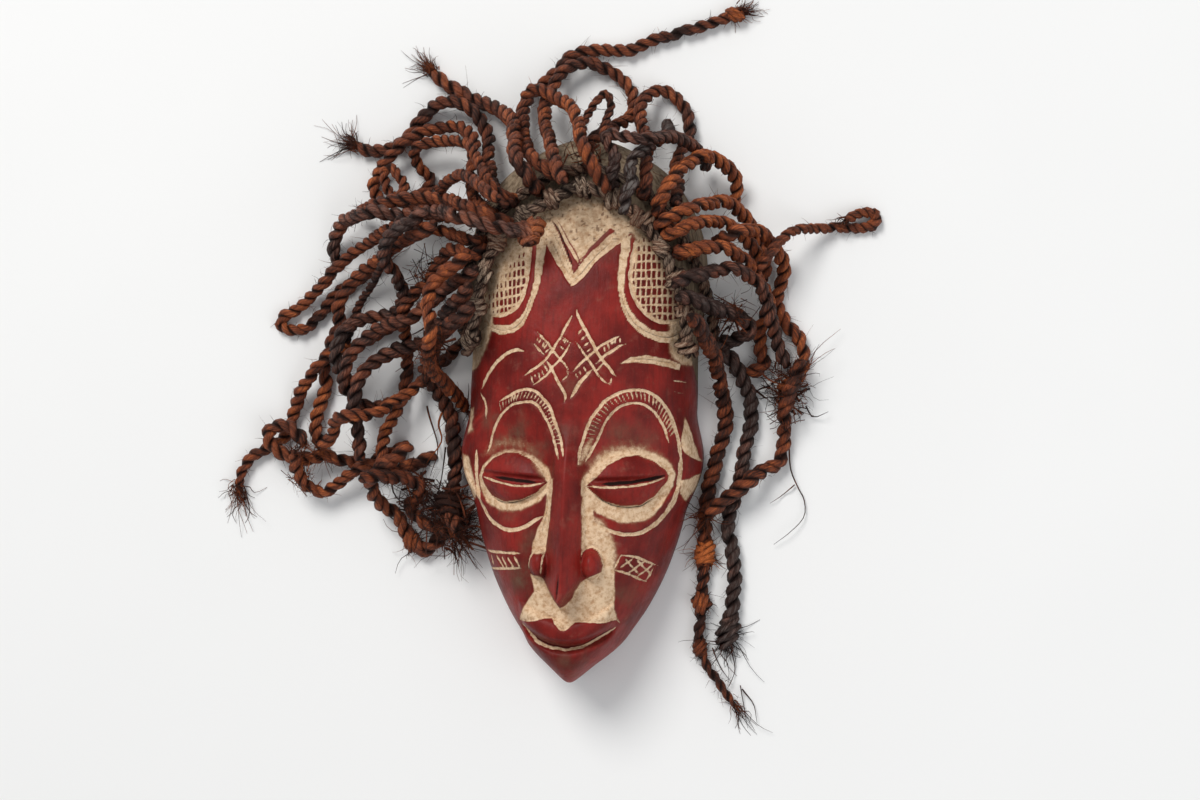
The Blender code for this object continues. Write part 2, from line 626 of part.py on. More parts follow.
def main():
    clear_scene()
    wood = make_material("stained_wood", (0.20, 0.035, 0.028), 0.55)
    knots = make_material("dusty_knots", (0.16, 0.11, 0.08), 0.95)
    braid_fibre = make_material("braid_fibre", (0.13, 0.07, 0.04), 0.95)
    add_object("mask", mask_mesh(), wood)
    ground = Ground()
    band, band_radii = band_path(ground)
    add_object("hair_band", tube_mesh("hair_band", band, band_radii, 8), knots)
    braid = lie_on(ground, hairline_route(BRAID_SPACING + BAND_RADIUS * BAND_KNOT_SWELL, BRAID_STEP),
                   BRAID_RADIUS, BAND_GAP)
    add_object("hair_braid", tube_curve("hair_braid", braid, BRAID_RADIUS), braid_fibre)
    ground.add_tube(through_points(band, MAP_TUBE_STEP), np.full(1000, BAND_RADIUS * (1 + BAND_KNOT_SWELL)))
    ground.add_tube(through_points(braid, MAP_TUBE_STEP), np.full(1000, BRAID_RADIUS))
    for (name, diameter, _), points in zip(ROPES, lay_ropes(ground, ROPE_STEP, RUN_SAMPLES)):
        fibre = make_material(name + "_fibre", (0.16, 0.06, 0.03), 0.95)
        add_object(name, tube_curve(name, points, diameter / 2 * ROUTE_UNIT * ROPE_SLIMNESS), fibre)


main()
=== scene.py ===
"""The look of the tribal mask: a carved, stained and chalked face with a wig of twisted fibre ropes.

It is made over the frame of the part's solids. The mask lies face up on a pale floor, and the camera
looks down on it as the photograph looks at it on its wall.
"""
import math

import bmesh
import bpy
import numpy as np
from mathutils import Matrix, Vector


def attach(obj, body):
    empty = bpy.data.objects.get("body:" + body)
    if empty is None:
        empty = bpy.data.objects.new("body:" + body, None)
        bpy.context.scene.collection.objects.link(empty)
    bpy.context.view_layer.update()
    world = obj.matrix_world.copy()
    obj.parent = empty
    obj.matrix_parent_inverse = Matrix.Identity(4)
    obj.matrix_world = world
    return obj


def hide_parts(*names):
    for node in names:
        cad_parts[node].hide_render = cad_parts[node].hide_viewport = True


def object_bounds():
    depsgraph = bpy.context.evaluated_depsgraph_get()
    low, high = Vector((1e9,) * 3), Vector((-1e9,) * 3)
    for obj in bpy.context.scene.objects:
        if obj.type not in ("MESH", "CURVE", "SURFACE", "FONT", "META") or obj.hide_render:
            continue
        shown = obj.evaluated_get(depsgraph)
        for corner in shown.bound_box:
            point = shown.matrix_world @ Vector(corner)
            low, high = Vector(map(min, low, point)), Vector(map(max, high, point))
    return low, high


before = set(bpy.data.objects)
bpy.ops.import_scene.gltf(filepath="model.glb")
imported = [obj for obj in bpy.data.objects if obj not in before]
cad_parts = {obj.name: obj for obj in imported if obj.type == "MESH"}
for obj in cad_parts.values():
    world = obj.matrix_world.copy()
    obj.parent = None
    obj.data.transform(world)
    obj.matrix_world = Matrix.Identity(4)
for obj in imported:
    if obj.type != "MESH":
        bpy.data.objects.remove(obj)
CAD_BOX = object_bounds()

MM = 0.001

# Carved shell, in metres
MASK_LENGTH = 0.291
MASK_WIDTH = 0.121
FACE_DEPTH = 0.065
FRONT_WALL = 0.013
SIDE_WALL = 0.008
SECTION_BULGE = 2.6
SECTION_ROUND = 2.2
CHIN_SQUARENESS = 5.0
CROWN_SQUARENESS = 2.3
# Fullness of the outline against an ellipse, at shares of the half length from chin to crown
OUTLINE_FULLNESS = (
    (-1.0, 0.36), (-0.95, 0.55), (-0.9, 0.74), (-0.8, 0.86), (-0.65, 0.95), (-0.5, 0.99),
    (0.0, 1.01), (0.24, 1.04), (0.5, 1.24), (0.75, 1.385), (0.9, 1.4), (1.0, 1.18),
)

# Eyes, with places measured from the mask's middle
EYE_OFFSET = 0.0295
EYE_Y = -0.036
EYE_LENGTH = 0.038
EYE_HEIGHT = 0.027
EYE_TILT = math.radians(4.0)
EYE_BULGE = 0.0085
SLIT_WIDTH = 0.005
SLIT_DEPTH = 0.0030
SOCKET_Y = -0.029
SOCKET_WIDTH = 0.047
SOCKET_HEIGHT = 0.066
SOCKET_DEPTH = 0.0065

# Nose
NOSE_TOP_Y = -0.016
NOSE_TIP_Y = -0.102
NOSE_HEIGHT = 0.019
BRIDGE_WIDTH = 0.017
NOSE_WIDTH = 0.023
NOSE_LEAN = -0.0015
NOSE_SLANT = 1.3
WING_Y = -0.080
WING_OFFSET = 0.0138
WING_WIDTH = 0.0105
WING_LENGTH = 0.0155
WING_HEIGHT = 0.0085

# Mouth
MOUTH_Y = -0.1235
MOUTH_WIDTH = 0.050
MOUTH_CURVE = 0.010
UPPER_LIP = 0.014
LIP_HEIGHT = 0.0045
MOUTH_GROOVE = 0.0035
MOUTH_GROOVE_WIDTH = 0.005

# Ears, carved on the sides
EAR_Y = -0.028
EAR_LENGTH = 0.046
EAR_OUT = 0.0055
EAR_RIDGE = 0.004

# Wig
BAND_RADIUS = 0.0048
BAND_KNOT_PITCH = 0.0180
BAND_KNOT_SWELL = 0.35
BRAID_RADIUS = 0.0034
BRAID_SPACING = 0.0098
BRAID_STEP = 0.0115
TOUCH_GAP = 0.0003
BAND_GAP = 0.0011
ROPE_GAP = 0.0006
ROPE_SAG_RADIUS = 0.025
ROPE_STEP = 0.0145
RUN_SAMPLES = 5
LAYING_ROUNDS = 500

# The map of heights that the ropes lie on
MAP_CELL = 0.0015
MAP_MARGIN = 0.015
MAP_TUBE_STEP = 0.002

# The hairline, in millimetres from the mask's middle
HAIRLINE = (
    (-59, 27), (-53, 39), (-51, 54), (-47, 72), (-40, 87), (-29, 97), (-17, 105), (-6, 112), (5, 114),
    (16, 110), (27, 104), (37, 95), (46, 81), (53, 65), (57, 49), (58, 33),
)

# The ropes' routes were chosen on the mask as it hangs, a little out of plumb
HANG_TILT = math.radians(1.6)
HANG_SHIFT = (3.3, -1.0)
ROUTE_UNIT = 0.001

# Ropes in the order that they lie, from rope_lock_01 up: diameter in millimetres and route
ROPES = (
    (7.6, ((-12, 122), (-20, 128), (-28, 137), (-33, 148), (-35, 160), (-32, 170), (-25, 176), (-18, 183),
        (-10, 191), (0, 194), (12, 194), (24, 195), (36, 200), (48, 203), (60, 206), (71, 209), (81, 213))),
    (7.4, ((-8, 124), (-14, 138), (-20, 150), (-22, 161), (-19, 171), (-16, 179), (-9, 185), (0, 187),
        (8, 184), (16, 179), (23, 171), (25, 162), (21, 154), (13, 148), (6, 141), (3, 131))),
    (5.0, ((6, 129), (3, 140), (3, 150), (7, 159), (12, 165), (16, 160), (14, 151), (12, 142))),
    (7.2, ((36, 113), (36, 128), (34, 142), (29, 154), (30, 165), (38, 171), (47, 167), (53, 158),
        (54, 149), (50, 139), (48, 129), (51, 117), (50, 105))),
    (7.0, ((28, 110), (31, 117), (29, 124), (35, 133), (42, 140), (45, 147), (42, 154))),
    (7.0, ((18, 118), (22, 127), (18, 136), (16, 141), (26, 139), (36, 137), (45, 140), (52, 140),
        (59, 137), (63, 129))),
    (7.4, ((12, 121), (7, 131), (3, 140), (0, 149), (-4, 157), (-11, 163), (-19, 168), (-27, 172),
        (-34, 168))),
    (8.4, ((-22, 117), (-29, 129), (-34, 142), (-38, 153), (-45, 160), (-53, 165), (-62, 168), (-71, 173),
        (-79, 178), (-86, 184))),
    (7.6, ((-40, 109), (-47, 121), (-52, 134), (-54, 147), (-59, 158), (-67, 165), (-77, 168), (-87, 164),
        (-95, 157), (-101, 149), (-110, 143), (-120, 141), (-129, 145))),
    (7.4, ((-47, 103), (-55, 110), (-60, 121), (-60, 133), (-61, 145), (-69, 153), (-80, 154), (-91, 151),
        (-101, 145), (-109, 138), (-116, 130), (-119, 121), (-115, 112))),
    (6.6, ((-45, 117), (-53, 130), (-63, 142), (-74, 144), (-85, 145), (-95, 141), (-94, 132), (-88, 127),
        (-91, 119), (-99, 115))),
    (6.6, ((-44, 112), (-55, 120), (-66, 123), (-77, 119), (-86, 112), (-97, 111))),
    (6.2, ((-86, 106), (-97, 110), (-105, 115), (-111, 124), (-110, 132), (-103, 127), (-98, 120),
        (-101, 111))),
    (7.8, ((-42, 99), (-54, 104), (-67, 109), (-82, 112), (-98, 112), (-113, 110), (-126, 107))),
    (8.2, ((-18, 90), (-27, 91), (-37, 93), (-47, 95), (-57, 98), (-69, 102), (-82, 104), (-95, 103),
        (-110, 105), (-124, 104), (-135, 100), (-141, 91), (-139, 81))),
    (7.0, ((-56, 88), (-69, 93), (-83, 96), (-96, 97), (-108, 94), (-120, 90), (-131, 84), (-139, 77),
        (-147, 69), (-155, 62), (-163, 55), (-171, 50), (-171, 45), (-162, 44), (-153, 49), (-146, 57),
        (-139, 65), (-130, 70), (-121, 76), (-113, 84))),
    (8.0, ((-82, 92), (-95, 88), (-108, 82), (-120, 76), (-131, 68), (-138, 58), (-139, 46), (-144, 34),
        (-148, 23), (-146, 12), (-150, 1), (-152, -10), (-148, -21))),
    (7.4, ((-112, 45), (-124, 38), (-136, 32), (-146, 27), (-153, 18), (-160, 9), (-165, -2), (-169, -13),
        (-177, -20), (-187, -25), (-194, -33), (-196, -42))),
    (8.0, ((-96, -29), (-108, -33), (-121, -32), (-133, -29), (-144, -25), (-155, -27), (-165, -25),
        (-174, -20), (-176, -12), (-168, -9), (-160, -12), (-156, -19))),
    (7.4, ((-110, -24), (-120, -29), (-130, -34), (-138, -41), (-147, -45), (-155, -41), (-159, -33),
        (-158, -24))),
    (4.8, ((-98, 93), (-104, 86), (-107, 77), (-113, 70), (-120, 63), (-126, 55), (-130, 46), (-132, 36))),
    (7.8, ((-86, 97), (-96, 91), (-102, 81), (-99, 71), (-97, 61), (-103, 53), (-114, 51), (-124, 49),
        (-132, 42), (-136, 32), (-135, 21), (-130, 12))),
    (7.4, ((-56, 80), (-66, 84), (-74, 78), (-80, 69), (-89, 62), (-96, 54), (-99, 43), (-100, 31),
        (-101, 18), (-104, 6), (-108, -5), (-111, -16), (-111, -28), (-108, -38))),
    (8.0, ((-60, 68), (-70, 64), (-79, 57), (-88, 50), (-100, 46), (-112, 43), (-122, 36), (-129, 26),
        (-131, 14), (-126, 4), (-116, 1), (-108, 5))),
    (8.2, ((-62, 57), (-72, 50), (-81, 41), (-91, 35), (-103, 32), (-114, 27), (-121, 19), (-124, 8),
        (-125, -4), (-124, -16), (-123, -27))),
    (7.4, ((-84, 24), (-93, 14), (-103, 5), (-113, -2), (-124, -3), (-134, -5), (-138, -13), (-146, -20))),
    (8.6, ((-104, -26), (-114, -34), (-117, -44), (-111, -53), (-104, -61), (-99, -71), (-91, -77),
        (-83, -71), (-75, -63))),
    (8.2, ((-107, -36), (-97, -37), (-91, -44), (-97, -53), (-90, -61), (-79, -64), (-70, -68))),
    (7.6, ((-60, 47), (-70, 40), (-79, 31), (-86, 21), (-82, 9), (-77, -3), (-74, -16), (-73, -29),
        (-74, -42), (-75, -54), (-69, -65))),
    (8.0, ((-62, 74), (-72, 67), (-76, 56), (-72, 45), (-74, 33), (-78, 22), (-73, 11), (-69, 1))),
    (7.8, ((42, 104), (48, 116), (55, 127), (64, 133), (73, 130), (79, 121), (77, 110))),
    (7.6, ((46, 97), (57, 102), (67, 107), (76, 109), (84, 102), (89, 91), (94, 80), (94, 69))),
    (7.4, ((50, 90), (61, 95), (72, 98), (81, 94), (88, 86), (92, 76))),
    (7.8, ((68, 86), (80, 91), (91, 94), (99, 87), (104, 77), (102, 66), (100, 56), (105, 47), (112, 38),
        (115, 27), (111, 16), (102, 11))),
    (5.0, ((98, 82), (107, 92), (118, 96), (131, 97), (144, 97), (153, 99), (153, 105), (144, 105),
        (137, 101))),
    (7.8, ((55, 81), (66, 83), (77, 83), (86, 77), (92, 67), (96, 56), (92, 45), (91, 34), (94, 25),
        (84, 20), (76, 22))),
    (8.0, ((60, 68), (70, 71), (81, 73), (90, 68), (96, 58), (98, 46), (101, 34), (106, 23))),
    (7.8, ((63, 55), (74, 51), (84, 48), (87, 41), (78, 37), (70, 33), (78, 25), (83, 14), (87, 2),
        (86, -10), (83, -22), (82, -34), (79, -46), (75, -58), (76, -71), (78, -84), (77, -97), (76, -110),
        (74, -122))),
    (7.8, ((65, 38), (70, 26), (71, 14), (73, 1), (72, -12), (68, -25), (65, -39), (62, -53), (62, -67),
        (62, -81), (61, -95), (60, -109), (59, -123), (62, -136), (70, -147), (78, -158))),
    (8.4, ((110, 16), (106, 6), (104, -6), (105, -18), (101, -28), (91, -34), (82, -41), (72, -48),
        (64, -56))),
)

# Camera: the photograph's angle, from the target out along the direction of view
LENS = 60.0
SENSOR = 36.0
CAMERA_YAW = math.radians(7.0)
CAMERA_DISTANCE = 1.060
CAMERA_TARGET = (0.01113, 0.0046, 0.025)

# Grid of the carved face and of the hollow behind it
FINE_ROWS = 425
FINE_COLUMNS = 100
FINE_HOLLOW_COLUMNS = 12
ROWS_REACH = 0.996

# Depths of the carving that is finer than the solid's, in millimetres
LINE_DEPTH = 0.75
WASH_DEPTH = 0.45
DARK_DEPTH = 0.8
TOOL_MARKS = 0.22
PIT_DEPTH = 0.4

# The pattern's points count from this far above the mask's middle, in millimetres
PATTERN_RISE = 2.0

# The knife's unsteadiness: how far it strays and over what length, in millimetres
KNIFE_STRAYS = ((0.22, 4.1), (0.10, 1.3))

# Over what length the cuts narrow to their ends, in millimetres, and the cover of a place far from any cut
LINE_TAPER = 4.0
STROKE_TAPER = 1.0
RUNG_TAPER = 1.5
BAND_TAPER = 5.0
STAIN_TAPER = 10.0
NO_COVER = -50.0

# Farthest that an eye's clay is looked for from the eye's middle, in millimetres
HALO_REACH = 45.0

# The pattern's marks, with their values on the back
MARKS = (("line", NO_COVER), ("wash", 0.0), ("dark", NO_COVER), ("bare", 0.0), ("pits", 0.0), ("dirt", 0.0))

# Cuts of the brows' ladders: width, step along the lines they join, and the share of the gap they span
RUNG_WIDTH = 0.8
RUNG_STEP = 0.5
RUNG_SPAN = (0.08, 0.75)

# Edges along the hairline, as distances from it onto the face in millimetres
HAIR_CLAY_EDGE = (11.0, 6.5)
HAIR_DIRT_EDGE = (9.0, 0.5)
BARE_EDGE = (1.0, -2.0)
DIRT_END = -3.0
PITS_END = 2.0

# Edges across the face, as heights in millimetres, and how strong what they bound is
TOP_PITS = (76.0, 90.0)
LIP_PITS = (-85.0, -95.0)
LIP_PIT_SHARE = 0.35
TOP_DIRT = (70.0, 95.0)
TOP_DIRT_SHARE = 0.45

# Darkest that a crossed cut gets, as a cover in millimetres
HATCH_DARKNESS = 0.06

# Lines that several tables use: inner edges of the scrolls, outer rings of the eyes and inner brow lines
LEFT_SCROLL = ((-23.4, 84), (-24, 70), (-25, 60.5), (-27, 53), (-30, 49), (-35, 46), (-41, 45), (-46.5, 46))
RIGHT_SCROLL = ((29.8, 82), (29, 71), (28.7, 65.5), (29.7, 60.5), (31.4, 56), (34.2, 51), (38, 47),
    (42.3, 44.5), (46.5, 43.5), (52.5, 45))
RIGHT_RING = ((6.2, -30.5), (6.5, -23.5), (8.3, -16.5), (11, -8.5), (15, -2), (19, 2.5), (24.5, 6),
    (30.5, 8), (36, 8.3), (41, 6.8), (46, 2.5), (50, -3.5), (53, -11.5), (55, -19), (56, -27.5))
LEFT_RING = ((-1.2, -27.5), (-3, -20), (-5, -14), (-7.5, -7.5), (-10, -1), (-14, 3.5), (-18, 6.3),
    (-22, 7.2), (-27, 6.2), (-32, 3.5), (-37.5, 0.5))
RIGHT_BROW = ((9, -29), (13, -21.5), (16.5, -13.5), (19.5, -7), (23.5, -2.3), (28.5, 0.8), (33.5, 1.8),
    (38.5, 0.5), (43, -3), (46.5, -8.5), (48.5, -13), (50.3, -18.5))
LEFT_BROW = ((-3.6, -29.5), (-6, -22), (-8.8, -13.8), (-12, -7.5), (-15.5, -2), (-19.5, 0.8), (-25, 0.3),
    (-31, -1.5), (-36.5, -6.5), (-40.5, -13.5), (-42.5, -21), (-44.5, -27))

# Incised lines rubbed with white clay: width and points in millimetres on the face
CHALK_LINES = (
    # left scroll's inner edge, beside the hatching
    (2.0, LEFT_SCROLL),
    # right scroll's inner edge, beside the hatching
    (2.0, RIGHT_SCROLL),
    # forehead chevrons, left arm and right arm
    (2.0, ((-15.5, 84), (-0.5, 61))),
    (1.8, ((-14.5, 99), (-9.7, 92), (-5, 84), (0, 76.5), (2.5, 72))),
    (2.2, ((-0.4, 61), (5, 67), (10.3, 74.3), (15, 79), (20, 82.8), (24.7, 86))),
    (2.0, ((-0.8, 65.5), (2.5, 68.5), (6.7, 74), (10.5, 77.8), (14.5, 82), (19, 87.5))),
    (1.5, ((0.6, 79.3), (4.5, 82), (8.7, 85.2), (13.8, 90))),
    # crossed bands between the brows, first band
    (1.4, ((0.2, 45.6), (-2.6, 40), (-4.9, 35.2), (-7.6, 30.7), (-9.6, 27.2), (-13.1, 22.4), (-17.6, 18.5),
        (-24, 14.3))),
    (1.2, ((0.1, 32), (-2.3, 27.3), (-5.2, 23.3), (-9, 19), (-11, 16), (-15.4, 12), (-18.9, 9.6))),
    # second band
    (1.2, ((-18.3, 37.2), (-14.7, 33.7), (-11.3, 30.3), (-8.4, 26.4), (-5.6, 23.2), (-2.3, 19.9),
        (-0.2, 16.8))),
    (1.4, ((-19.4, 31), (-15.8, 27), (-13.3, 24.7))),
    (1.6, ((-12.4, 22.3), (-9.4, 18), (-7, 13.3), (-4.4, 8.8), (-1.9, 4.7), (-2.2, 0.8))),
    # third band
    (1.6, ((2.2, 49), (3.4, 45), (5.5, 41), (8, 36.8), (10.6, 32.5), (12.7, 28.7), (15.6, 24), (18.9, 20.3),
        (21.8, 16.8), (24.2, 14.6))),
    (1.2, ((2.4, 32.6), (5.4, 28.5), (8.7, 23.8), (11.2, 20.4), (13.6, 17), (14.4, 15.8), (17.2, 12.8),
        (20.4, 10.7))),
    # fourth band
    (1.3, ((1.6, 16.7), (4.7, 20.3), (8.2, 23.6), (12, 27.2), (15, 30), (18.5, 32.2), (21.2, 33.9),
        (24.7, 36))),
    (1.8, ((0.8, 3.4), (2.4, 6.2), (5.4, 10.9), (8.1, 14.6), (11.2, 17.8))),
    (1.5, ((13, 21), (15.7, 23.5), (17.9, 25.6), (21.4, 27.8), (24.8, 30.3), (28, 31.6))),
    # crescent at the left temple
    (1.9, ((-49, 7), (-45, 14.5), (-39.5, 21.3), (-34, 25.4), (-29, 27.4), (-24.5, 26.9))),
    # outer rings of the eyes
    (1.7, RIGHT_RING),
    (2.1, ((56, -25), (55.8, -34), (54.8, -42), (52.3, -49.5), (48.7, -55.8), (43, -61.8), (37, -65.2),
        (30, -66), (21.5, -64), (13.5, -59.8))),
    (1.6, LEFT_RING),
    (2.1, ((-51, -25), (-51, -36), (-50.3, -44.5), (-48.2, -52.8), (-44.3, -59), (-39.5, -63), (-33, -65.6),
        (-26.5, -65.4), (-19.5, -62.3), (-12.5, -57.8))),
    # inner brow lines
    (1.4, RIGHT_BROW),
    (1.4, LEFT_BROW),
    # temple strokes
    (1.3, ((-50, 5), (-46, -1), (-45.5, -9))),
    (0.9, ((50, 14), (57, 13))),
    (0.8, ((52, 8), (56, 7))),
    # lines down the left side of the nose and round its wing
    (1.0, ((-10.3, -74), (-11.2, -80), (-12, -88))),
    (1.2, ((-19, -86), (-19, -82.3), (-17.9, -78.5), (-15.6, -75.4), (-11, -73))),
    (1.1, ((8.6, -78), (9.2, -74.8), (13, -72.2), (17, -73.8), (19.6, -78.6), (19.9, -84))),
    # upper edge of the lips
    (1.2, ((-26, -113.2), (-16, -111.6), (-10, -110), (-6, -110.5), (-4, -113), (-0.5, -116), (3.5, -113.2),
        (6, -111.3), (10, -111), (20, -111.5), (24.8, -110.8), (26.8, -113.4))),
    # light lines under the eye slits
    (1.2, ((9.5, -41.5), (19.5, -42), (31, -41.3), (40, -39.7), (48.8, -36.5))),
    (1.2, ((-46, -39), (-37.5, -41), (-28.5, -42.5), (-20.3, -42.3), (-11.8, -40.6))),
    # line under the mouth's cut
    (1.35, ((-24.5, -115), (-18.3, -121.2), (-12, -125.1), (-1, -126.8), (8.5, -125.2), (17.5, -120.1),
        (25, -115.4))),
    # cheek marks
    (1.4, ((-46.5, -78.8), (-33.5, -78), (-23.5, -77.6))),
    (1.4, ((-46.5, -88.6), (-32.5, -86.4), (-23.5, -85.4))),
    (1.3, ((28, -76.5), (35, -78), (45, -83.5))),
    (1.3, ((24.5, -84.5), (31, -86.5), (39.5, -91.5))),
    (1.2, ((28, -76.5), (24.5, -84.5))),
    (1.2, ((43, -84), (39.5, -91))),
)

# Short strokes inside the bands and marks: width and two ends each
CHALK_STROKES = (
    (1.0, (-4.7, 33.5, -2.4, 30.8), (-4, 34.5, -0.8, 31.5), (-5.7, 30, -3.3, 27.7),
        (-20.2, 14.5, -19, 10.2), (-18.4, 15.3, -17.5, 13), (-16.4, 16.6, -15.5, 12.6),
        (-15, 17.8, -13.4, 14.3), (-13.4, 19.8, -11.3, 16.2), (-17.2, 34, -18, 31.7),
        (-15.7, 33, -16.7, 31), (-13.9, 31.8, -14.6, 28.7), (-12.6, 30.3, -13.9, 28),
        (-11.2, 28, -13.2, 26), (-1.4, 18, -1, 14.6), (-1, 14.6, -4, 12.1), (24.6, 35.3, 25, 32.2),
        (22.5, 34.5, 22.6, 31.3), (21, 33.4, 21, 30.6), (19, 32, 19.6, 28.5), (16.8, 30.5, 17.6, 26.8),
        (2.7, 16, 4.6, 13.2), (4.9, 17.6, 6, 15.2), (7, 19.5, 8.6, 16.4), (3.5, 36, 5.5, 38.5),
        (5, 33, 7.5, 35.5), (6.5, 30, 9, 32), (8.5, 27, 10.5, 29), (16.4, 21, 14.2, 18),
        (21.4, 14.4, 20.4, 10.7)),
    (1.1, (-38.8, -80, -33.5, -87), (-35.2, -80, -32.1, -86), (-31.7, -80, -27.7, -86),
        (-27.5, -79.5, -24.2, -85.3), (-43, -80.5, -41.5, -86), (27.8, -83.3, 33.9, -78.5),
        (31.6, -86, 39.2, -80.3), (36.2, -88, 42.6, -82.8), (30.1, -78.5, 36.2, -86.8),
        (35.4, -79.5, 41.5, -87.5)),
)

# Ladders of short cuts between a brow's two lines: outer and inner line, number of cuts
BROW_LADDERS = (
    (RIGHT_RING[2:13], ((14.8, -17.5), *RIGHT_BROW[2:11], (49.8, -16.5)), 30),
    (LEFT_RING[1:11],
     ((-6.8, -20), LEFT_BROW[2], (-10.5, -10), *LEFT_BROW[3:8], (-34, -4), LEFT_BROW[8]), 26),
)

# Whole areas under white clay: softness of the edge in millimetres, strength and outline
CHALK_AREAS = (
    # scrolls on the forehead
    (0.25, 1.0, ((-51, 41), (-49.5, 41), (-46, 38), (-38.5, 35), (-31, 36), (-25.5, 40), (-21.5, 49),
        (-18.5, 58), (-16.5, 67), (-15.5, 82), (-15.5, 92), (-20.5, 92), (-20.5, 80), (-20.5, 65),
        (-22, 56), (-24, 49.5), (-27.5, 44), (-33, 40), (-42, 40), (-49, 43))),
    (0.25, 1.0, ((23.3, 86), (23.3, 79.5), (22.8, 71), (22.5, 65), (23, 59.5), (24.3, 54), (26, 48.5),
        (28.6, 44), (32.5, 39.5), (37, 36), (43.5, 33.5), (47, 33), (53, 34.5), (60, 40), (57, 46),
        (53, 44.5), (50, 39.5), (45.5, 38.5), (40, 39.5), (34.5, 43.5), (30.2, 48), (27.4, 54.3),
        (25.8, 59.5), (26.5, 71), (27.8, 80), (28, 88))),
    # between the chevrons and the hair
    (0.5, 1.0, ((-13.5, 98), (-9, 93), (-4.5, 86), (0, 79), (3.4, 73.4), (6.8, 79.9), (11.8, 85.4),
        (17.3, 91.5), (24, 88), (30, 90), (32, 104), (16, 112), (-4, 114), (-15, 108))),
    # the chevrons' arms
    (0.3, 1.0, ((-17, 86), (-15, 82.5), (-0.6, 60.5), (0.2, 64.5), (-1.2, 71), (-5.5, 79.5), (-10, 89.5),
        (-14, 96), (-17, 92))),
    (0.3, 1.0, ((-0.6, 60.5), (5, 66), (10.6, 73.4), (15.2, 78.2), (20, 82), (25, 85.4), (27, 89), (20, 90),
        (15.9, 86.8), (13, 83.1), (9, 79.1), (5.2, 75.2), (1.8, 69.6), (-0.8, 66.4))),
    # temple crescent on the right
    (0.4, 1.0, ((25.5, 21.7), (30.8, 25), (39.5, 26.3), (47, 25), (54, 22.5), (54, 19.3), (49, 20.6),
        (42, 22), (34, 22.3))),
    # right of the nose, round its wing and over the lip
    (0.8, 1.0, ((7.6, -40), (8.2, -50), (8.4, -60), (8.8, -70), (8.6, -80), (9, -89.5), (6, -95),
        (4, -99.5), (0, -103.5), (-2, -104.5), (-1, -112), (0, -116), (4.5, -113), (6, -111.5), (10, -111),
        (20, -111.5), (26, -111), (24.8, -104), (25.2, -92), (24.8, -84), (24, -78), (21, -71), (17, -64),
        (14.2, -58), (13.5, -52), (11, -47))),
    (3.0, 0.85, ((14, -57), (18, -59), (22, -64), (25, -72), (26, -80), (24, -86), (20, -76), (15, -66))),
    # left of the nose
    (0.6, 1.0, ((-6.8, -38), (-7.3, -50), (-8.1, -60), (-9.6, -70), (-10.6, -77), (-13, -76.6),
        (-15.5, -76.5), (-18, -76.5), (-17, -71), (-14.6, -64), (-12.4, -59.5), (-10.8, -54), (-10.4, -46),
        (-9.6, -40))),
    (0.8, 1.0, ((-18.5, -88), (-16, -86.5), (-12.5, -88.5), (-10, -92.5), (-8, -96.5), (-5, -101.8),
        (-2, -104.5), (0, -116), (-4, -113), (-6, -110.5), (-10, -110), (-16, -111.6), (-25.5, -113),
        (-24, -109.5), (-20.6, -103.3), (-16.2, -96.9), (-17.4, -91))),
    # ear on the right
    (0.5, 1.0, ((57, -5), (55.8, -20), (58, -24), (65, -29), (62, -20), (60, -13))),
    (0.8, 0.9, ((56.3, -38), (60, -37.5), (64.5, -35), (62.5, -43), (57.5, -50), (55.8, -45))),
    # ear and temple on the left
    (1.5, 0.8, ((-61, -28), (-56, -29), (-50, -49), (-55, -52), (-60, -40))),
    (1.5, 0.7, ((-59, -4), (-55, -3), (-53.5, -15), (-57, -17))),
)

# Places where the stain is darkened towards brown, in the eye sockets, between the brows, beside the nose
# and under the mouth: middle of the place, reach in millimetres and strength
DARKENED_PLACES = (
    (-24, -92, 10, 0.9), (-28, -15, 11, 0.75), (-38, -20, 9, 0.6), (-16, -24, 9, 0.7), (26, -14, 12, 0.6),
    (40, -16, 10, 0.45), (28, -97, 8, 0.6), (-2, -14, 9, 0.35), (0, 8, 10, 0.35), (-20, -70, 8, 0.6),
    (-45, -10, 9, 0.6), (14, -14, 8, 0.5), (-30, -57, 9, 0.4), (34, -58, 10, 0.4), (0, -135, 10, 0.5),
)

# Places inside the clay where the red stain shows: width and points, then whole areas
STAIN_LINES = (
    (1.3, ((2.6, 74.2), (7.6, 79.3), (11.9, 83.9), (16.3, 88.6), (18, 90.5))),
)
STAIN_AREAS = (
    # wings of the nose
    ((8.4, -76.4), (10.5, -74.2), (13.5, -73), (16.5, -74.6), (18.4, -78), (19.2, -82), (18.5, -85.5),
        (13.5, -87.8), (9.0, -90.2)),
    ((-11.6, -76.2), (-14, -76.8), (-17, -79.2), (-18.7, -84), (-17.5, -88), (-12.6, -88.4)),
    # sliver beside the scroll on the left
    ((-15.2, 60), (-14.6, 78), (-15.4, 81)),
)

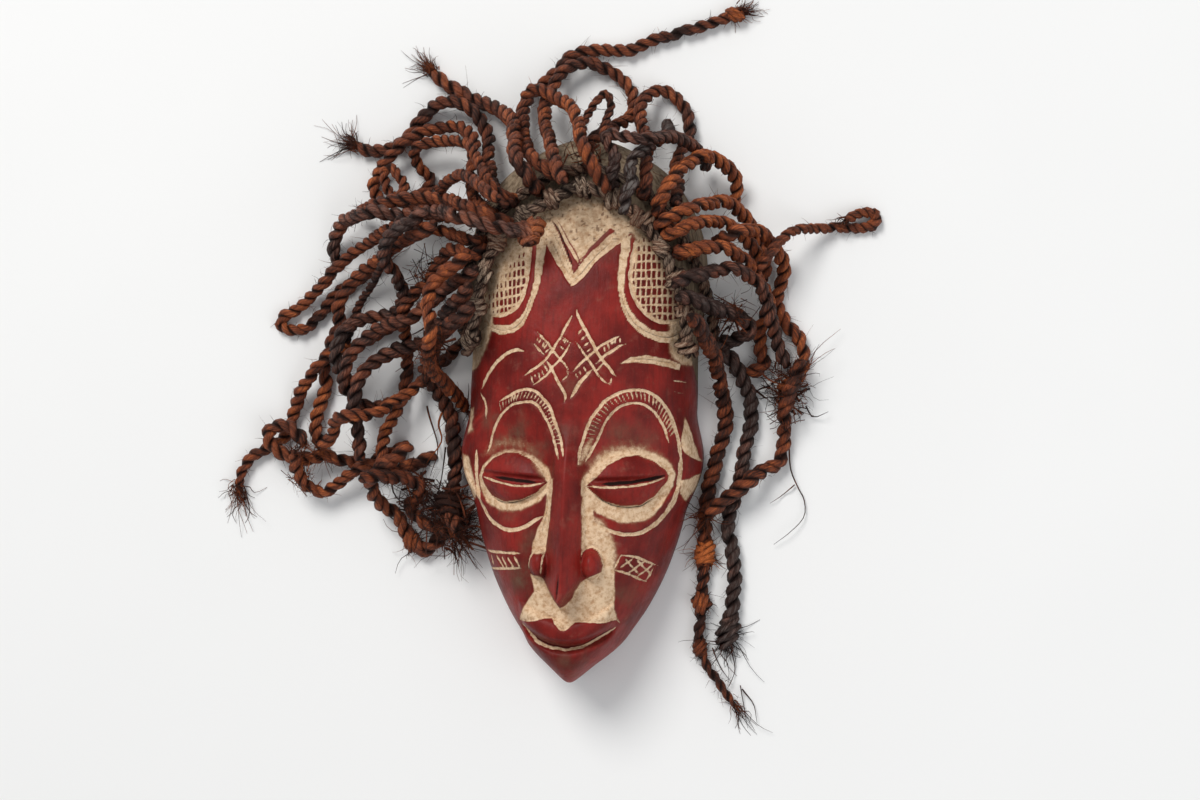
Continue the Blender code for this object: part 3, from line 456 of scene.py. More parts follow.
# Eyes: outline of the lids, edge of the nose beside them, and the clay round them as angle, width and
# softness
EYE_HALOS = (
    (((9.5, -41.5), (15, -37), (20.5, -30.5), (28, -26.5), (35, -25), (43, -28), (48.7, -32.5),
        (50.3, -35.5), (49.7, -38.3), (43.5, -46.5), (36.5, -50.8), (27.5, -51.5), (18.5, -49),
        (11.5, -43.5)), 7.7, ((0, 3.4, 0.6), (30, 4.4, 1.2), (60, 4.6, 4.0), (90, 5.6, 6.0),
        (120, 7.4, 7.2), (150, 7.8, 5.6), (180, 4.5, 1.2), (205, 5.6, 0.8), (235, 7.4, 1.2),
        (270, 9.2, 1.3), (300, 8.6, 1.1), (330, 5.6, 0.8), (360, 3.4, 0.6))),
    (((-47, -39), (-45.5, -34.5), (-40.5, -29), (-33.5, -26), (-26.5, -26), (-19.5, -29), (-13, -34.5),
        (-10.5, -40.5), (-16.5, -46.3), (-25, -50), (-34, -51.3), (-41.5, -49), (-46, -43)),
        7.0, ((0, 3.4, 1.0), (30, 3.0, 2.4), (60, 2.0, 3.0), (90, 1.8, 3.2), (120, 1.8, 2.6),
        (150, 1.8, 1.2), (180, 2.2, 0.6), (210, 3.8, 1.0), (240, 5.0, 1.4), (270, 5.6, 1.8),
        (300, 5.2, 1.6), (330, 4.4, 1.0), (360, 3.4, 1.0))),
)

# Soft bands under white clay: width, softness, strength and points
CHALK_BANDS = (
    (4.0, 2.0, 0.7, ((6.8, -30), (9.5, -23), (12, -16.5))),
    (5.0, 3.6, 0.45, ((-46, -28), (-40, -23), (-32, -20.5), (-24, -21.5), (-17, -26))),
    (4.4, 2.6, 0.62, ((-18, -29.5), (-14.5, -33), (-11.5, -38))),
)

# Dark lines: near-black painted shade in the eye slits and along the bottoms of deep cuts, and real cracks
# and scratches: width and points
DARK_LINES = (
    # the eye slits, painted near black as painted shade for their openings
    (2.0, ((17.5, -40.3), (24.5, -39.9), (35.5, -38.5), (42.5, -37.1), (48.5, -35.6))),
    (1.9, ((-39, -38.6), (-35, -38.9), (-29, -39.5), (-22, -40.1), (-16, -40.3))),
    (0.7, ((-24, -114.6), (-18.5, -120), (-12, -123.9), (-1, -125.5), (8.5, -124), (17.5, -119),
        (24.5, -115))),
    (1.2, ((-1.3, -86), (-1.6, -92), (-2.3, -99.5))),
    (0.5, ((-47, 40.2), (-40, 37.8), (-32, 38.2), (-26.4, 42.5), (-23, 50), (-20.5, 58))),
    (0.6, ((24.4, 58), (26, 53), (28.6, 47), (32.8, 42), (38, 38.3), (44.5, 36.2), (50, 36.6), (55, 40))),
    (0.6, ((-13.6, 85.5), (-6.8, 73.5), (-1.2, 64.4))),
    (0.5, ((-14, 91), (-5.5, 77), (-1.6, 68))),
    (0.6, ((0.2, 64.3), (4, 68), (8.8, 74.4), (12.8, 79), (17.5, 83.8))),
    (1.1, ((-13, 95), (-9.5, 90), (-5, 80.5), (-0.5, 71))),
    (0.5, ((29, 23.6), (39, 24.3), (47, 23.4), (52, 21.6))),
    (0.8, ((14, -45.8), (20.5, -50.2), (28, -52.1), (36.5, -51.3), (43, -47.5))),
    (0.8, ((-41.5, -49.6), (-34, -51.9), (-25, -50.6), (-17, -47.0))),
    (0.8, ((39, 119), (44.5, 113.5), (50, 108))),
    (0.7, ((20, 134), (27, 128.5), (35, 123))),
    (0.6, ((5, 128), (10, 120), (13, 117))),
    (0.5, ((-9.9, -47), (-10.4, -56), (-12.4, -66))),
)

# Fields of crossed cuts on the forehead: outline, two directions in degrees, two spacings, clear widths,
# and how fast the clay hides them away from a point
HATCH_FIELDS = (
    (((-23.5, 84), *LEFT_SCROLL[1:], (-52, 52), (-49, 66), (-43, 80), (-36, 88), (-26, 93)),
     (93.0, 10.0), (2.45, 4.6), (0.95, 1.2), (-27.0, 54.0), (0.055, 0.040)),
    (((29.8, 84), *RIGHT_SCROLL[1:], (58, 50), (56, 62), (51, 75), (43, 86), (33, 91)),
     (92.0, 4.0), (2.6, 4.5), (0.95, 1.1), (36.0, 62.0), (0.030, 0.040)),
)

# Finishes of the ropes by number: share of orange against near black, and of grey dust
ROPE_TONES = {
    1: (0.46, 0.05), 2: (0.50, 0.1), 3: (0.42, 0.1), 4: (0.45, 0.1), 5: (0.12, 0.8), 6: (0.30, 0.4),
    7: (0.60, 0.0), 8: (0.45, 0.1), 9: (0.42, 0.1), 15: (0.38, 0.35), 18: (0.58, 0.0), 21: (0.28, 0.1),
    22: (0.32, 0.3), 24: (0.42, 0.2), 25: (0.34, 0.2), 28: (0.38, 0.0), 29: (0.34, 0.1), 30: (0.60, 0.0),
    31: (0.68, 0.0), 32: (0.72, 0.0), 33: (0.66, 0.0), 34: (0.62, 0.0), 36: (0.62, 0.0), 37: (0.34, 0.2),
    38: (0.14, 0.3), 39: (0.36, 0.0), 40: (0.40, 0.0),
}
USUAL_TONE = (0.53, 0.05)

# Twist of the ropes
TURN_PER_DIAMETER = 1.75
STRAND_OFFSET = 0.225
STRAND_RADIUS = 0.275
STRAND_SIDES = 16
STRAND_STEP = 0.0013
STRAND = (STRAND_OFFSET, STRAND_RADIUS, STRAND_SIDES, STRAND_STEP)
FUZZ_SPACING = 0.0016
FUZZ_LENGTH = 0.0060
ROPE_SWAY = 0.0007
BAND_CORD = 0.72
BAND_CORD_TURN = 0.011
BAND_CORD_OFFSET = 0.25
BAND_CORD_RADIUS = 0.29
BAND_CORD_SIDES = 14
BAND_CORD_STEP = 0.0012
BAND_STRAND = 0.0015
BAND_KNOT_GIRTH = 0.0058
BAND_SINK = 0.0004
BRAID_TURN = 0.012

# Unevenness of the strands: how much, and over what length in metres
SWAY_ASIDE = (1.0, 0.012)
SWAY_UP = (0.6, 0.010)
TURN_DRIFT = (0.7, 0.022)
OFFSET_DRIFT = (0.14, 0.009)
GIRTH_DRIFT = (0.15, 0.006)
FINE_GIRTH_DRIFT = (0.06, 0.0024)
STRAND_TONE_DRIFT = (0.12, 0.022)
ROPE_TONE_DRIFT = (0.20, 0.035)

# Radius of the loose fibres, least and most in metres
TUFT_FIBRE = (0.00018, 0.00046)
FUZZ_FIBRE = (0.00009, 0.00020)
TANGLE_FIBRE = (0.00014, 0.00036)
TANGLE_STRAND = (0.0005, 0.0010)

# Loose fibres: share of strands in a tangle, share of places on a rope without a fibre, share of long
# ones and how much longer they are, and how far apart a tuft's roots lie in metres
TANGLE_STRAND_SHARE = 0.16
FUZZ_GAP_SHARE = 0.25
LONG_FUZZ_SHARE = 0.07
LONG_FUZZ = 2.2
TUFT_ROOT = 0.0014

# How far loose fibres may reach past the part's box, and the lowest that a strand's surface lies
FIBRE_REACH = 0.017
LOWEST_FIBRE = 0.0002

# The ropes' finer laying: step in metres and number of rounds
FINE_STEP = 0.003
FINE_ROUNDS = 300

# Frayed ends: rope, end, number of fibres, length and spread
FRAYS = (
    (1, 1, 60, 0.009, 0.35), (8, 1, 90, 0.012, 0.32), (9, 1, 90, 0.014, 0.30), (18, 1, 60, 0.018, 0.45),
    (19, 1, 20, 0.010, 0.6), (20, 1, 20, 0.012, 0.6), (16, 1, 16, 0.010, 0.5), (17, 1, 20, 0.010, 0.5),
    (26, 1, 20, 0.012, 0.6), (27, 1, 60, 0.022, 0.8), (28, 1, 34, 0.022, 0.8), (29, 1, 30, 0.020, 0.8),
    (35, 1, 26, 0.008, 0.5), (38, 1, 40, 0.018, 0.4), (39, 1, 26, 0.014, 0.3), (40, 1, 60, 0.016, 0.9),
    (40, 0, 50, 0.018, 0.9), (14, 1, 14, 0.008, 0.5), (10, 1, 14, 0.008, 0.5), (30, 1, 20, 0.010, 0.6),
)

# Knots on the ropes: place in the plan, turn from the rope's run, length, girth and strand in metres, tone,
# dust, number of loose fibres and their length
ROPE_KNOTS = (
    ((-18.0, 91.0), 1.45, 0.020, 0.0064, 0.0018, 0.60, 0.3, 12, 0.006),
    ((144.0, 203.0), 0.0, 0.010, 0.0050, 0.0013, 0.75, 0.0, 30, 0.007),
    ((-24.0, 90.0), 0.1, 0.013, 0.0060, 0.0019, 0.45, 0.3, 12, 0.006),
    ((58.5, -76.0), 0.0, 0.014, 0.0062, 0.0015, 0.95, 0.0, 90, 0.010),
    ((62.0, -79.0), 0.4, 0.010, 0.0052, 0.0013, 0.75, 0.0, 40, 0.009),
    ((65.0, -103.0), 0.9, 0.012, 0.0060, 0.0014, 0.50, 0.0, 50, 0.006),
    ((62.0, -128.0), 0.3, 0.010, 0.0048, 0.0012, 0.30, 0.0, 40, 0.006),
    ((74.0, -122.0), 0.2, 0.019, 0.0074, 0.0014, 0.16, 0.5, 90, 0.009),
    ((-101.0, -73.0), 0.3, 0.012, 0.0060, 0.0014, 0.55, 0.0, 40, 0.012),
    ((-83.0, -50.0), 0.2, 0.016, 0.0080, 0.0014, 0.15, 0.0, 70, 0.014),
)

# Clumps of loose fibres: place in the plan, reach in metres, number of fibres and tone
TANGLES = (
    ((-80.0, -56.0), 0.017, 190, 0.12), ((-90.0, -44.0), 0.014, 110, 0.18),
    ((-72.0, -66.0), 0.014, 90, 0.25), ((104.0, 12.0), 0.013, 120, 0.22), ((110.0, 2.0), 0.012, 80, 0.30),
    ((-70.0, 30.0), 0.012, 60, 0.30), ((-160.0, -40.0), 0.010, 50, 0.40), ((-52.0, 105.0), 0.010, 70, 0.25),
    ((0.0, 132.0), 0.010, 60, 0.30), ((80.0, 60.0), 0.012, 70, 0.30), ((-75.0, 70.0), 0.014, 90, 0.25),
)

# Single long strands that have come loose: radius and height above the floor in metres, tone and points
STRAYS = (
    (0.0006, 0.0030, 0.20, ((107, -20), (108, -32), (112, -42), (115, -48), (115, -57), (108, -65),
        (99, -72))),
    (0.0005, 0.0020, 0.25, ((110, -40), (103, -46), (97, -50))),
    (0.0006, 0.0040, 0.15, ((116, 2), (120, -4), (128, -1))),
    (0.0005, 0.0020, 0.15, ((-118, -53), (-108, -61), (-98, -69), (-90, -77))),
    (0.0006, 0.0030, 0.45, ((-75, -68), (-68, -78), (-62, -87))),
    (0.0005, 0.0025, 0.25, ((-78, -66), (-72, -79), (-68, -84))),
    (0.0009, 0.0060, 0.85, ((-79, 2), (-83, -8), (-82, -18), (-90, -30))),
    (0.0007, 0.0040, 0.30, ((-90, 2), (-86, -12), (-84, -24), (-88, -36))),
    (0.0005, 0.0020, 0.20, ((66, -128), (70, -138), (76, -146))),
    (0.0005, 0.0020, 0.20, ((76, -128), (78, -140), (74, -150))),
    (0.0005, 0.0020, 0.25, ((82, -150), (88, -158), (90, -168))),
    (0.0004, 0.0020, 0.20, ((81, -148), (83, -160), (85, -171))),
)

# Ropes whose start lies free, ropes that look thicker than their solids because they have come unlaid, and
# ropes that thin out towards their end
FREE_STARTS = (15,)
UNLAID = {35: 1.22, 29: 1.15, 38: 1.1, 39: 1.12}
THINNED = {39: 0.5, 18: 0.85, 1: 0.85}
THIN_FROM = 0.55

# Ropes with many loose fibres: how much closer the fibres stand
HAIRY = {28: 3.0, 29: 3.0, 39: 2.5, 37: 2.0, 36: 1.6, 15: 1.6, 16: 1.5, 10: 1.5}

# How near a cord of the wig has to be for a rope to start in it, and how deep the rope goes into it
ROOT_REACH = 0.024
ROOT_DEPTH = 0.0015

# Colours of the wood, in linear light: stain, clay, bare wood under the wig, raw wood behind, and dirt
DEEP_STAIN = (0.120, 0.0080, 0.0062)
BRIGHT_STAIN = (0.255, 0.0170, 0.0120)
WORN_STAIN = (0.215, 0.062, 0.044)
STAIN_IN_GRAIN = (0.060, 0.0085, 0.0065)
STAIN_SPECKS = (0.36, 0.10, 0.08)
DEEP_CLAY = (0.49, 0.295, 0.160)
PALE_CLAY = (0.78, 0.575, 0.380)
WORN_CLAY = (0.44, 0.250, 0.125)
CLAY_SPECKS = (0.26, 0.12, 0.06)
THIN_CLAY = (0.270, 0.120, 0.065)
BARE_WOOD = ((0.30, 0.225, 0.15), (0.14, 0.095, 0.06))
RAW_WOOD = ((0.20, 0.125, 0.07), (0.09, 0.05, 0.03))
DIRT = (0.115, 0.070, 0.042)
# Near black for the dark lines: painted shade in the eye slits and the bottoms of the cuts, and the colour
# of the cracks
SHADE_IN_CUTS_AND_CRACKS = (0.009, 0.004, 0.003)
PIT = (0.13, 0.070, 0.040)

# Colours of the fibre, in linear light: dark, middle, bright and dusty; the dark, darkened, is also the
# painted shade in the crevices, the bright also the painted glints, and the dusty also a painted highlight
# on the upper sides
ROPE_COLOURS = ((0.032, 0.011, 0.007), (0.235, 0.056, 0.021), (0.66, 0.175, 0.045), (0.20, 0.18, 0.165))
BAND_COLOURS = ((0.034, 0.016, 0.011), (0.190, 0.078, 0.045), (0.38, 0.17, 0.09), (0.66, 0.50, 0.36))
FLOOR_COLOURS = ((0.83, 0.83, 0.82), (0.86, 0.86, 0.85))
FLOOR_REACH = 3.0

# Lights that shine at the middle of the floor: place and size in metres, power in watts, and colour
LIGHTS = {
    "key": ((-0.95, 1.80, 2.50), 1.5, 74.0, (1.0, 0.985, 0.965)),
    "fill": ((1.1, -0.5, 1.3), 1.4, 7.0, (0.97, 0.98, 1.0)),
}
ROOM_COLOUR = (0.95, 0.97, 1.0, 1.0)
ROOM_LIGHT = 0.44


def smooth_through(stations, values):
    """Values of a smooth curve through (place, value) stations."""
    places = np.array([s[0] for s in stations])
    levels = np.array([s[1] for s in stations])
    slopes = np.gradient(levels, places)
    values = np.clip(values, places[0], places[-1])
    k = np.clip(np.searchsorted(places, values, side="right") - 1, 0, len(places) - 2)
    span = places[k + 1] - places[k]
    s = (values - places[k]) / span
    return (
        levels[k] * (1 + 2 * s) * (1 - s) ** 2 + slopes[k] * span * s * (1 - s) ** 2
        + levels[k + 1] * s * s * (3 - 2 * s) + slopes[k + 1] * span * s * s * (s - 1)
    )


def smoothstep(low, high, values):
    s = np.clip((values - low) / (high - low), 0.0, 1.0)
    return s * s * (3 - 2 * s)


def hill(distance):
    """One at no distance, falling smoothly to nothing at a distance of one."""
    return np.clip(1 - distance * distance, 0.0, None) ** 2


def half_width(y, length=MASK_LENGTH, width=MASK_WIDTH):
    """Half the head's width at a place along it, without the ears."""
    t = np.clip(2 * y / length, -1.0, 1.0)
    return width / 2 * np.sqrt(1 - t * t) * smooth_through(OUTLINE_FULLNESS, t)


def outline_half_width(y):
    """Half the carved wood's width, with the ears."""
    return half_width(y) + EAR_OUT * hill((y - EAR_Y) / (0.62 * EAR_LENGTH))


def lengthwise(y, length):
    """Height of the middle of the shell as a share of its depth, from chin to crown."""
    t = np.clip(2 * y / length, -1.0, 1.0)
    chin = (1 - np.abs(t) ** CHIN_SQUARENESS) ** (1 / CHIN_SQUARENESS)
    crown = (1 - np.abs(t) ** CROWN_SQUARENESS) ** (1 / CROWN_SQUARENESS)
    return np.where(t < 0, chin * (1 + 0.07 * t), crown)


def across(u):
    """Height across the shell as a share of its middle's, u being the share of the half width."""
    u = np.clip(np.abs(u), 0.0, 1.0)
    return (1 - u ** SECTION_BULGE) ** (1 / SECTION_ROUND)


def eye_frame(x, y):
    """Place in an eye's own axes, as shares of its half length and half height."""
    dx = np.abs(x) - EYE_OFFSET
    dy = y - EYE_Y
    along = (dx * math.cos(EYE_TILT) + dy * math.sin(EYE_TILT)) / (EYE_LENGTH / 2)
    up = (dy * math.cos(EYE_TILT) - dx * math.sin(EYE_TILT)) / (EYE_HEIGHT / 2)
    return along, up


def eye_relief(x, y):
    socket = np.hypot((np.abs(x) - EYE_OFFSET) / (SOCKET_WIDTH / 2), (y - SOCKET_Y) / (SOCKET_HEIGHT / 2))
    along, up = eye_frame(x, y)
    lens = np.clip(1 - along ** 2 - np.abs(up) ** 1.6, 0.0, None) ** 0.6
    slit = hill(up * EYE_HEIGHT / SLIT_WIDTH) * smoothstep(1.0, 0.8, np.abs(along))
    return -SOCKET_DEPTH * hill(np.minimum(socket, 1.0)) ** 0.5 + EYE_BULGE * lens - SLIT_DEPTH * slit


def nose_relief(x, y):
    """A ridge that widens downwards, cut off under its tip in a V, with a wing on each side."""
    length = NOSE_TOP_Y - NOSE_TIP_Y
    s = (NOSE_TOP_Y - y) / length
    cut = (NOSE_TOP_Y - y + NOSE_SLANT * np.abs(x - NOSE_LEAN)) / length
    reach = smoothstep(-0.15, 0.25, s) * smoothstep(1.03, 0.96, cut)
    half = (BRIDGE_WIDTH + (NOSE_WIDTH - BRIDGE_WIDTH) * np.clip(s, 0.0, 1.0)) / 2
    ridge = np.clip(1 - (np.abs(x) / half) ** 1.25, 0.0, 1.0)
    rise = NOSE_HEIGHT * (0.45 + 0.55 * np.clip(s, 0.0, 1.0))
    wing = np.hypot((np.abs(x) - WING_OFFSET) / (WING_WIDTH / 2), (y - WING_Y) / (WING_LENGTH / 2))
    return np.maximum(rise * reach * ridge, WING_HEIGHT * np.clip(1 - wing * wing, 0.0, None) ** 0.5)


def mouth_relief(x, y):
    share = np.abs(x) / (MOUTH_WIDTH / 2)
    line = MOUTH_Y + MOUTH_CURVE * share ** 2
    fade = smoothstep(1.05, 0.85, share)
    above = (y - line) / UPPER_LIP
    upper = np.clip(4 * above * (1 - above), 0.0, None) ** 0.5
    below = smoothstep(0.0, 0.25, (line - y) / UPPER_LIP)
    groove = hill(np.minimum(np.abs(y - line) / MOUTH_GROOVE_WIDTH, 1.0))
    return fade * (LIP_HEIGHT * np.where(y > line, upper, 0.8 * below) - MOUTH_GROOVE * groove)


def ear_relief(y, u):
    """A C-shaped ridge on each side, open to the face."""
    up = (y - EAR_Y) / (EAR_LENGTH / 2)
    reach = 0.80 + 0.15 * np.clip(1 - up * up, 0.0, 1.0)
    ring = np.abs(np.abs(u) - reach) / 0.07
    return EAR_RIDGE * hill(np.minimum(ring, 1.0)) * smoothstep(1.15, 0.85, np.abs(up))


def mask_height(x, y):
    """Height of the carved face above the rim's plane."""
    width = np.maximum(outline_half_width(y), 1e-6)
    u = np.abs(x) / width
    base = FACE_DEPTH * lengthwise(y, MASK_LENGTH) * across(u)
    inside = smoothstep(1.0, 0.9, u) * smoothstep(0.0, 0.25, lengthwise(y, MASK_LENGTH))
    carving = eye_relief(x, y) + nose_relief(x, y) + mouth_relief(x, y) + ear_relief(y, u)
    return np.where(u < 1, base + carving * inside, 0.0)


def hollow_height(x, y):
    """Height of the hollow behind the face above the rim's plane."""
    length = MASK_LENGTH - 2 * SIDE_WALL
    width = np.maximum(half_width(y, length, MASK_WIDTH - 2 * SIDE_WALL), 1e-6)
    return (FACE_DEPTH - FRONT_WALL) * lengthwise(y, length) * across(np.abs(x) / width)


def column_places(count):
    """Shares of the half width, closer to each other at the sides."""
    v = np.linspace(-1.0, 1.0, 2 * count + 1)
    return 0.45 * v + 0.55 * np.sin(v * math.pi / 2)


def through_points(points, step):
    """Evenly spaced points on a smooth curve through the points given."""
    points = np.array(points, dtype=float)
    ends = (2 * points[0] - points[1], 2 * points[-1] - points[-2])
    padded = np.vstack((ends[0], points, ends[1]))
    s = np.linspace(0.0, 1.0, 24, endpoint=False)[:, None]
    pieces = []
    for a, b, c, d in zip(padded, padded[1:], padded[2:], padded[3:]):
        pieces.append(0.5 * (2 * b + (c - a) * s + (2 * a - 5 * b + 4 * c - d) * s ** 2
                             + (3 * b - a - 3 * c + d) * s ** 3))
    dense = np.vstack((*pieces, points[-1:]))
    lengths = np.concatenate(([0.0], np.cumsum(np.hypot(*np.diff(dense, axis=0).T[:2]))))
    count = max(2, round(lengths[-1] / step))
    places = np.linspace(0.0, lengths[-1], count + 1)
    return np.column_stack([np.interp(places, lengths, dense[:, k]) for k in range(dense.shape[1])])


class Ground:
    """What a rope lies on: the floor, the carved wood and the wig's band, as a map of heights."""

    def __init__(self):
        reach_x = MASK_WIDTH / 2 + MAP_MARGIN
        reach_y = MASK_LENGTH / 2 + MAP_MARGIN
        self.x = np.arange(-reach_x, reach_x, MAP_CELL)
        self.y = np.arange(-reach_y, reach_y, MAP_CELL)
        across_x, along_y = np.meshgrid(self.x, self.y)
        self.heights = mask_height(across_x, along_y)
        self.known = {}

    def centre_heights(self, radius):
        """Lowest places for the centre of a ball of this radius that rests on the map."""
        if radius not in self.known:
            reach = int(math.ceil(radius / MAP_CELL))
            rows, columns = self.heights.shape
            padded = np.pad(self.heights, reach)
            lowest = np.full_like(self.heights, radius)
            for i in range(-reach, reach + 1):
                for j in range(-reach, reach + 1):
                    left = radius ** 2 - (i * i + j * j) * MAP_CELL ** 2
                    if left < 0:
                        continue
                    part = padded[reach + i:reach + i + rows, reach + j:reach + j + columns]
                    raised = np.where(part > 0, part + math.sqrt(left), radius)
                    lowest = np.maximum(lowest, raised)
            self.known[radius] = lowest
        return self.known[radius]

    def below(self, x, y, radius):
        """Lowest height of a ball's centre over each place."""
        heights = self.centre_heights(radius)
        column = (x - self.x[0]) / MAP_CELL
        row = (y - self.y[0]) / MAP_CELL
        inside = (column >= 0) & (row >= 0) & (column <= len(self.x) - 1) & (row <= len(self.y) - 1)
        column = np.clip(column, 0, len(self.x) - 1)
        row = np.clip(row, 0, len(self.y) - 1)
        result = np.full(len(x), radius)
        for i in (np.floor(row).astype(int), np.ceil(row).astype(int)):
            for j in (np.floor(column).astype(int), np.ceil(column).astype(int)):
                result = np.maximum(result, heights[i, j])
        return np.where(inside, result, radius)

    def add_tube(self, points, radius):
        """Puts a tube that lies on the map into it."""
        across_x, along_y = np.meshgrid(self.x, self.y)
        for x, y, z in points:
            left = radius ** 2 - (across_x - x) ** 2 - (along_y - y) ** 2
            top = np.maximum(self.heights, z + np.sqrt(np.clip(left, 0, None)))
            self.heights = np.where(left > 0, top, self.heights)
        self.known = {}


def lie_on(ground, route, radius, gap):
    """Puts a height to each point of a route, so that a tube of this radius just rests."""
    heights = ground.below(route[:, 0], route[:, 1], radius + gap)
    return np.column_stack((route, heights))


def hairline_route(offset, step):
    """The hairline, moved away from the face by an offset."""
    route = through_points(np.array(HAIRLINE) * ROUTE_UNIT, step)
    ahead = np.gradient(route, axis=0)
    ahead /= np.hypot(ahead[:, 0], ahead[:, 1])[:, None]
    outward = np.column_stack((-ahead[:, 1], ahead[:, 0]))
    return route + outward * offset


def band_path(ground):
    """Centre points of the row of knots."""
    route = hairline_route(0.0, BAND_KNOT_PITCH / 2)
    return lie_on(ground, route, BAND_RADIUS * (1 + BAND_KNOT_SWELL), BAND_GAP)


def hung_to_mask(route):
    """A route chosen on the hanging mask, in the mask's own axes and in metres."""
    route = np.array(route, dtype=float)
    x = route[:, 0] + HANG_SHIFT[0]
    y = route[:, 1] + HANG_SHIFT[1]
    c, s = math.cos(HANG_TILT), math.sin(HANG_TILT)
    return np.column_stack((x * c - y * s, x * s + y * c)) * ROUTE_UNIT


def lay_ropes(ground, step, samples, rounds, begin=None):
    """Lays the ropes down one after another, each on the floor, the mask and the ropes below it.

    Each rope is a chain of points. Its runs are tested at a few samples each, a sample that is too
    low is lifted with the ends of its run, and the chain sags no tighter than a slack rope does.
    """
    chains = [through_points(hung_to_mask(route), step) for _, route in ROPES]
    radii = [diameter / 2 * ROUTE_UNIT for diameter, _ in ROPES]
    starts = np.cumsum([0] + [len(chain) for chain in chains])
    flat = np.vstack(chains)
    heights = np.concatenate(begin or [np.full(len(c), r) for c, r in zip(chains, radii)])
    rows = []
    for owner, (chain, radius) in enumerate(zip(chains, radii)):
        run = np.hypot(*np.diff(chain, axis=0).T)
        along = np.concatenate(([0.0], np.cumsum(run)))
        stops = [(k, m) for k in range(len(run)) for m in range(samples)] + [(len(run) - 1, samples)]
        for k, m in stops:
            rows.append((starts[owner] + k, m / samples, radius, owner, along[k] + run[k] * m / samples))
    first, share, size, owner, arc = (np.array(column) for column in zip(*rows))
    places = flat[first] * (1 - share)[:, None] + flat[first + 1] * share[:, None]
    least = np.zeros(len(places))
    for radius in sorted(set(radii)):
        mine = size == radius
        least[mine] = ground.below(places[mine, 0], places[mine, 1], radius + TOUCH_GAP)
    lower, upper, rise = crossings(places, size, owner, arc)
    spread = (1 - share) ** 2 + share ** 2
    inner = np.ones(len(flat), dtype=bool)
    inner[starts[:-1]] = False
    inner[starts[1:] - 1] = False
    inner = np.nonzero(inner)[0]
    spacing = np.hypot(*(flat[inner + 1] - flat[inner]).T)
    sag = spacing ** 2 / (2 * ROPE_SAG_RADIUS)
    for _ in range(rounds):
        heights[inner] = np.maximum(heights[inner], (heights[inner - 1] + heights[inner + 1]) / 2 - sag)
        level = heights[first] * (1 - share) + heights[first + 1] * share
        wanted = np.maximum(least, level)
        np.maximum.at(wanted, upper, level[lower] + rise)
        lift = wanted - level
        lifted = heights.copy()
        np.maximum.at(lifted, first, heights[first] + lift * (1 - share) / spread)
        np.maximum.at(lifted, first + 1, heights[first + 1] + lift * share / spread)
        heights = lifted
    return [np.column_stack((chain, heights[a:b])) for chain, a, b in zip(chains, starts, starts[1:])]


def crossings(places, size, owner, arc):
    """Pairs of samples, the upper one laid later, and how far the upper stays above the lower."""
    lower, upper, rise = [], [], []
    for k in range(1, len(places)):
        apart = np.hypot(places[:k, 0] - places[k, 0], places[:k, 1] - places[k, 1])
        reach = size[:k] + size[k] + ROPE_GAP
        near = apart < reach
        near &= (owner[:k] != owner[k]) | (arc[k] - arc[:k] > 6 * size[k])
        found = np.nonzero(near)[0]
        lower.extend(found)
        upper.extend([k] * len(found))
        rise.extend(np.sqrt(reach[found] ** 2 - apart[found] ** 2))
    return np.array(lower), np.array(upper), np.array(rise)


class Noise:
    """Smooth random values between -1 and 1 over a plane."""

    def __init__(self, seed):
        self.table = np.random.default_rng(seed).uniform(-1.0, 1.0, (256, 256))

    def at(self, x, y):
        x, y = np.asarray(x, dtype=float), np.asarray(y, dtype=float)
        i, j = np.floor(x).astype(int), np.floor(y).astype(int)
        s, t = smoothstep(0.0, 1.0, x - i), smoothstep(0.0, 1.0, y - j)
        i, j = i % 256, j % 256
        k, m = (i + 1) % 256, (j + 1) % 256
        low = self.table[i, j] * (1 - s) + self.table[k, j] * s
        high = self.table[i, m] * (1 - s) + self.table[k, m] * s
        return low * (1 - t) + high * t


def place_camera():
    toward = Vector((math.sin(CAMERA_YAW) * math.cos(HANG_TILT), math.sin(CAMERA_YAW) * math.sin(HANG_TILT),
                     math.cos(CAMERA_YAW)))
    up = Vector((-math.sin(HANG_TILT), math.cos(HANG_TILT), 0.0))
    up = (up - toward * up.dot(toward)).normalized()
    data = bpy.data.cameras.new("camera")
    data.sensor_fit = "HORIZONTAL"
    data.sensor_width = SENSOR
    data.lens = LENS
    camera = bpy.data.objects.new("camera", data)
    camera.matrix_world = Matrix((up.cross(toward), up, toward)).transposed().to_4x4()
    camera.location = Vector(CAMERA_TARGET) + toward * CAMERA_DISTANCE
    bpy.context.collection.objects.link(camera)
    bpy.context.scene.camera = camera


# Cover of the pattern: places are in millimetres on the face, and a cover is how far inside a mark one lies


def segment_distance(x, y, a, b):
    """Distance to a straight run, and the share of it where the nearest point is."""
    along = np.array(b) - np.array(a)
    share = ((x - a[0]) * along[0] + (y - a[1]) * along[1]) / max(along @ along, 1e-9)
    share = np.clip(share, 0.0, 1.0)
    return np.hypot(x - a[0] - share * along[0], y - a[1] - share * along[1]), share


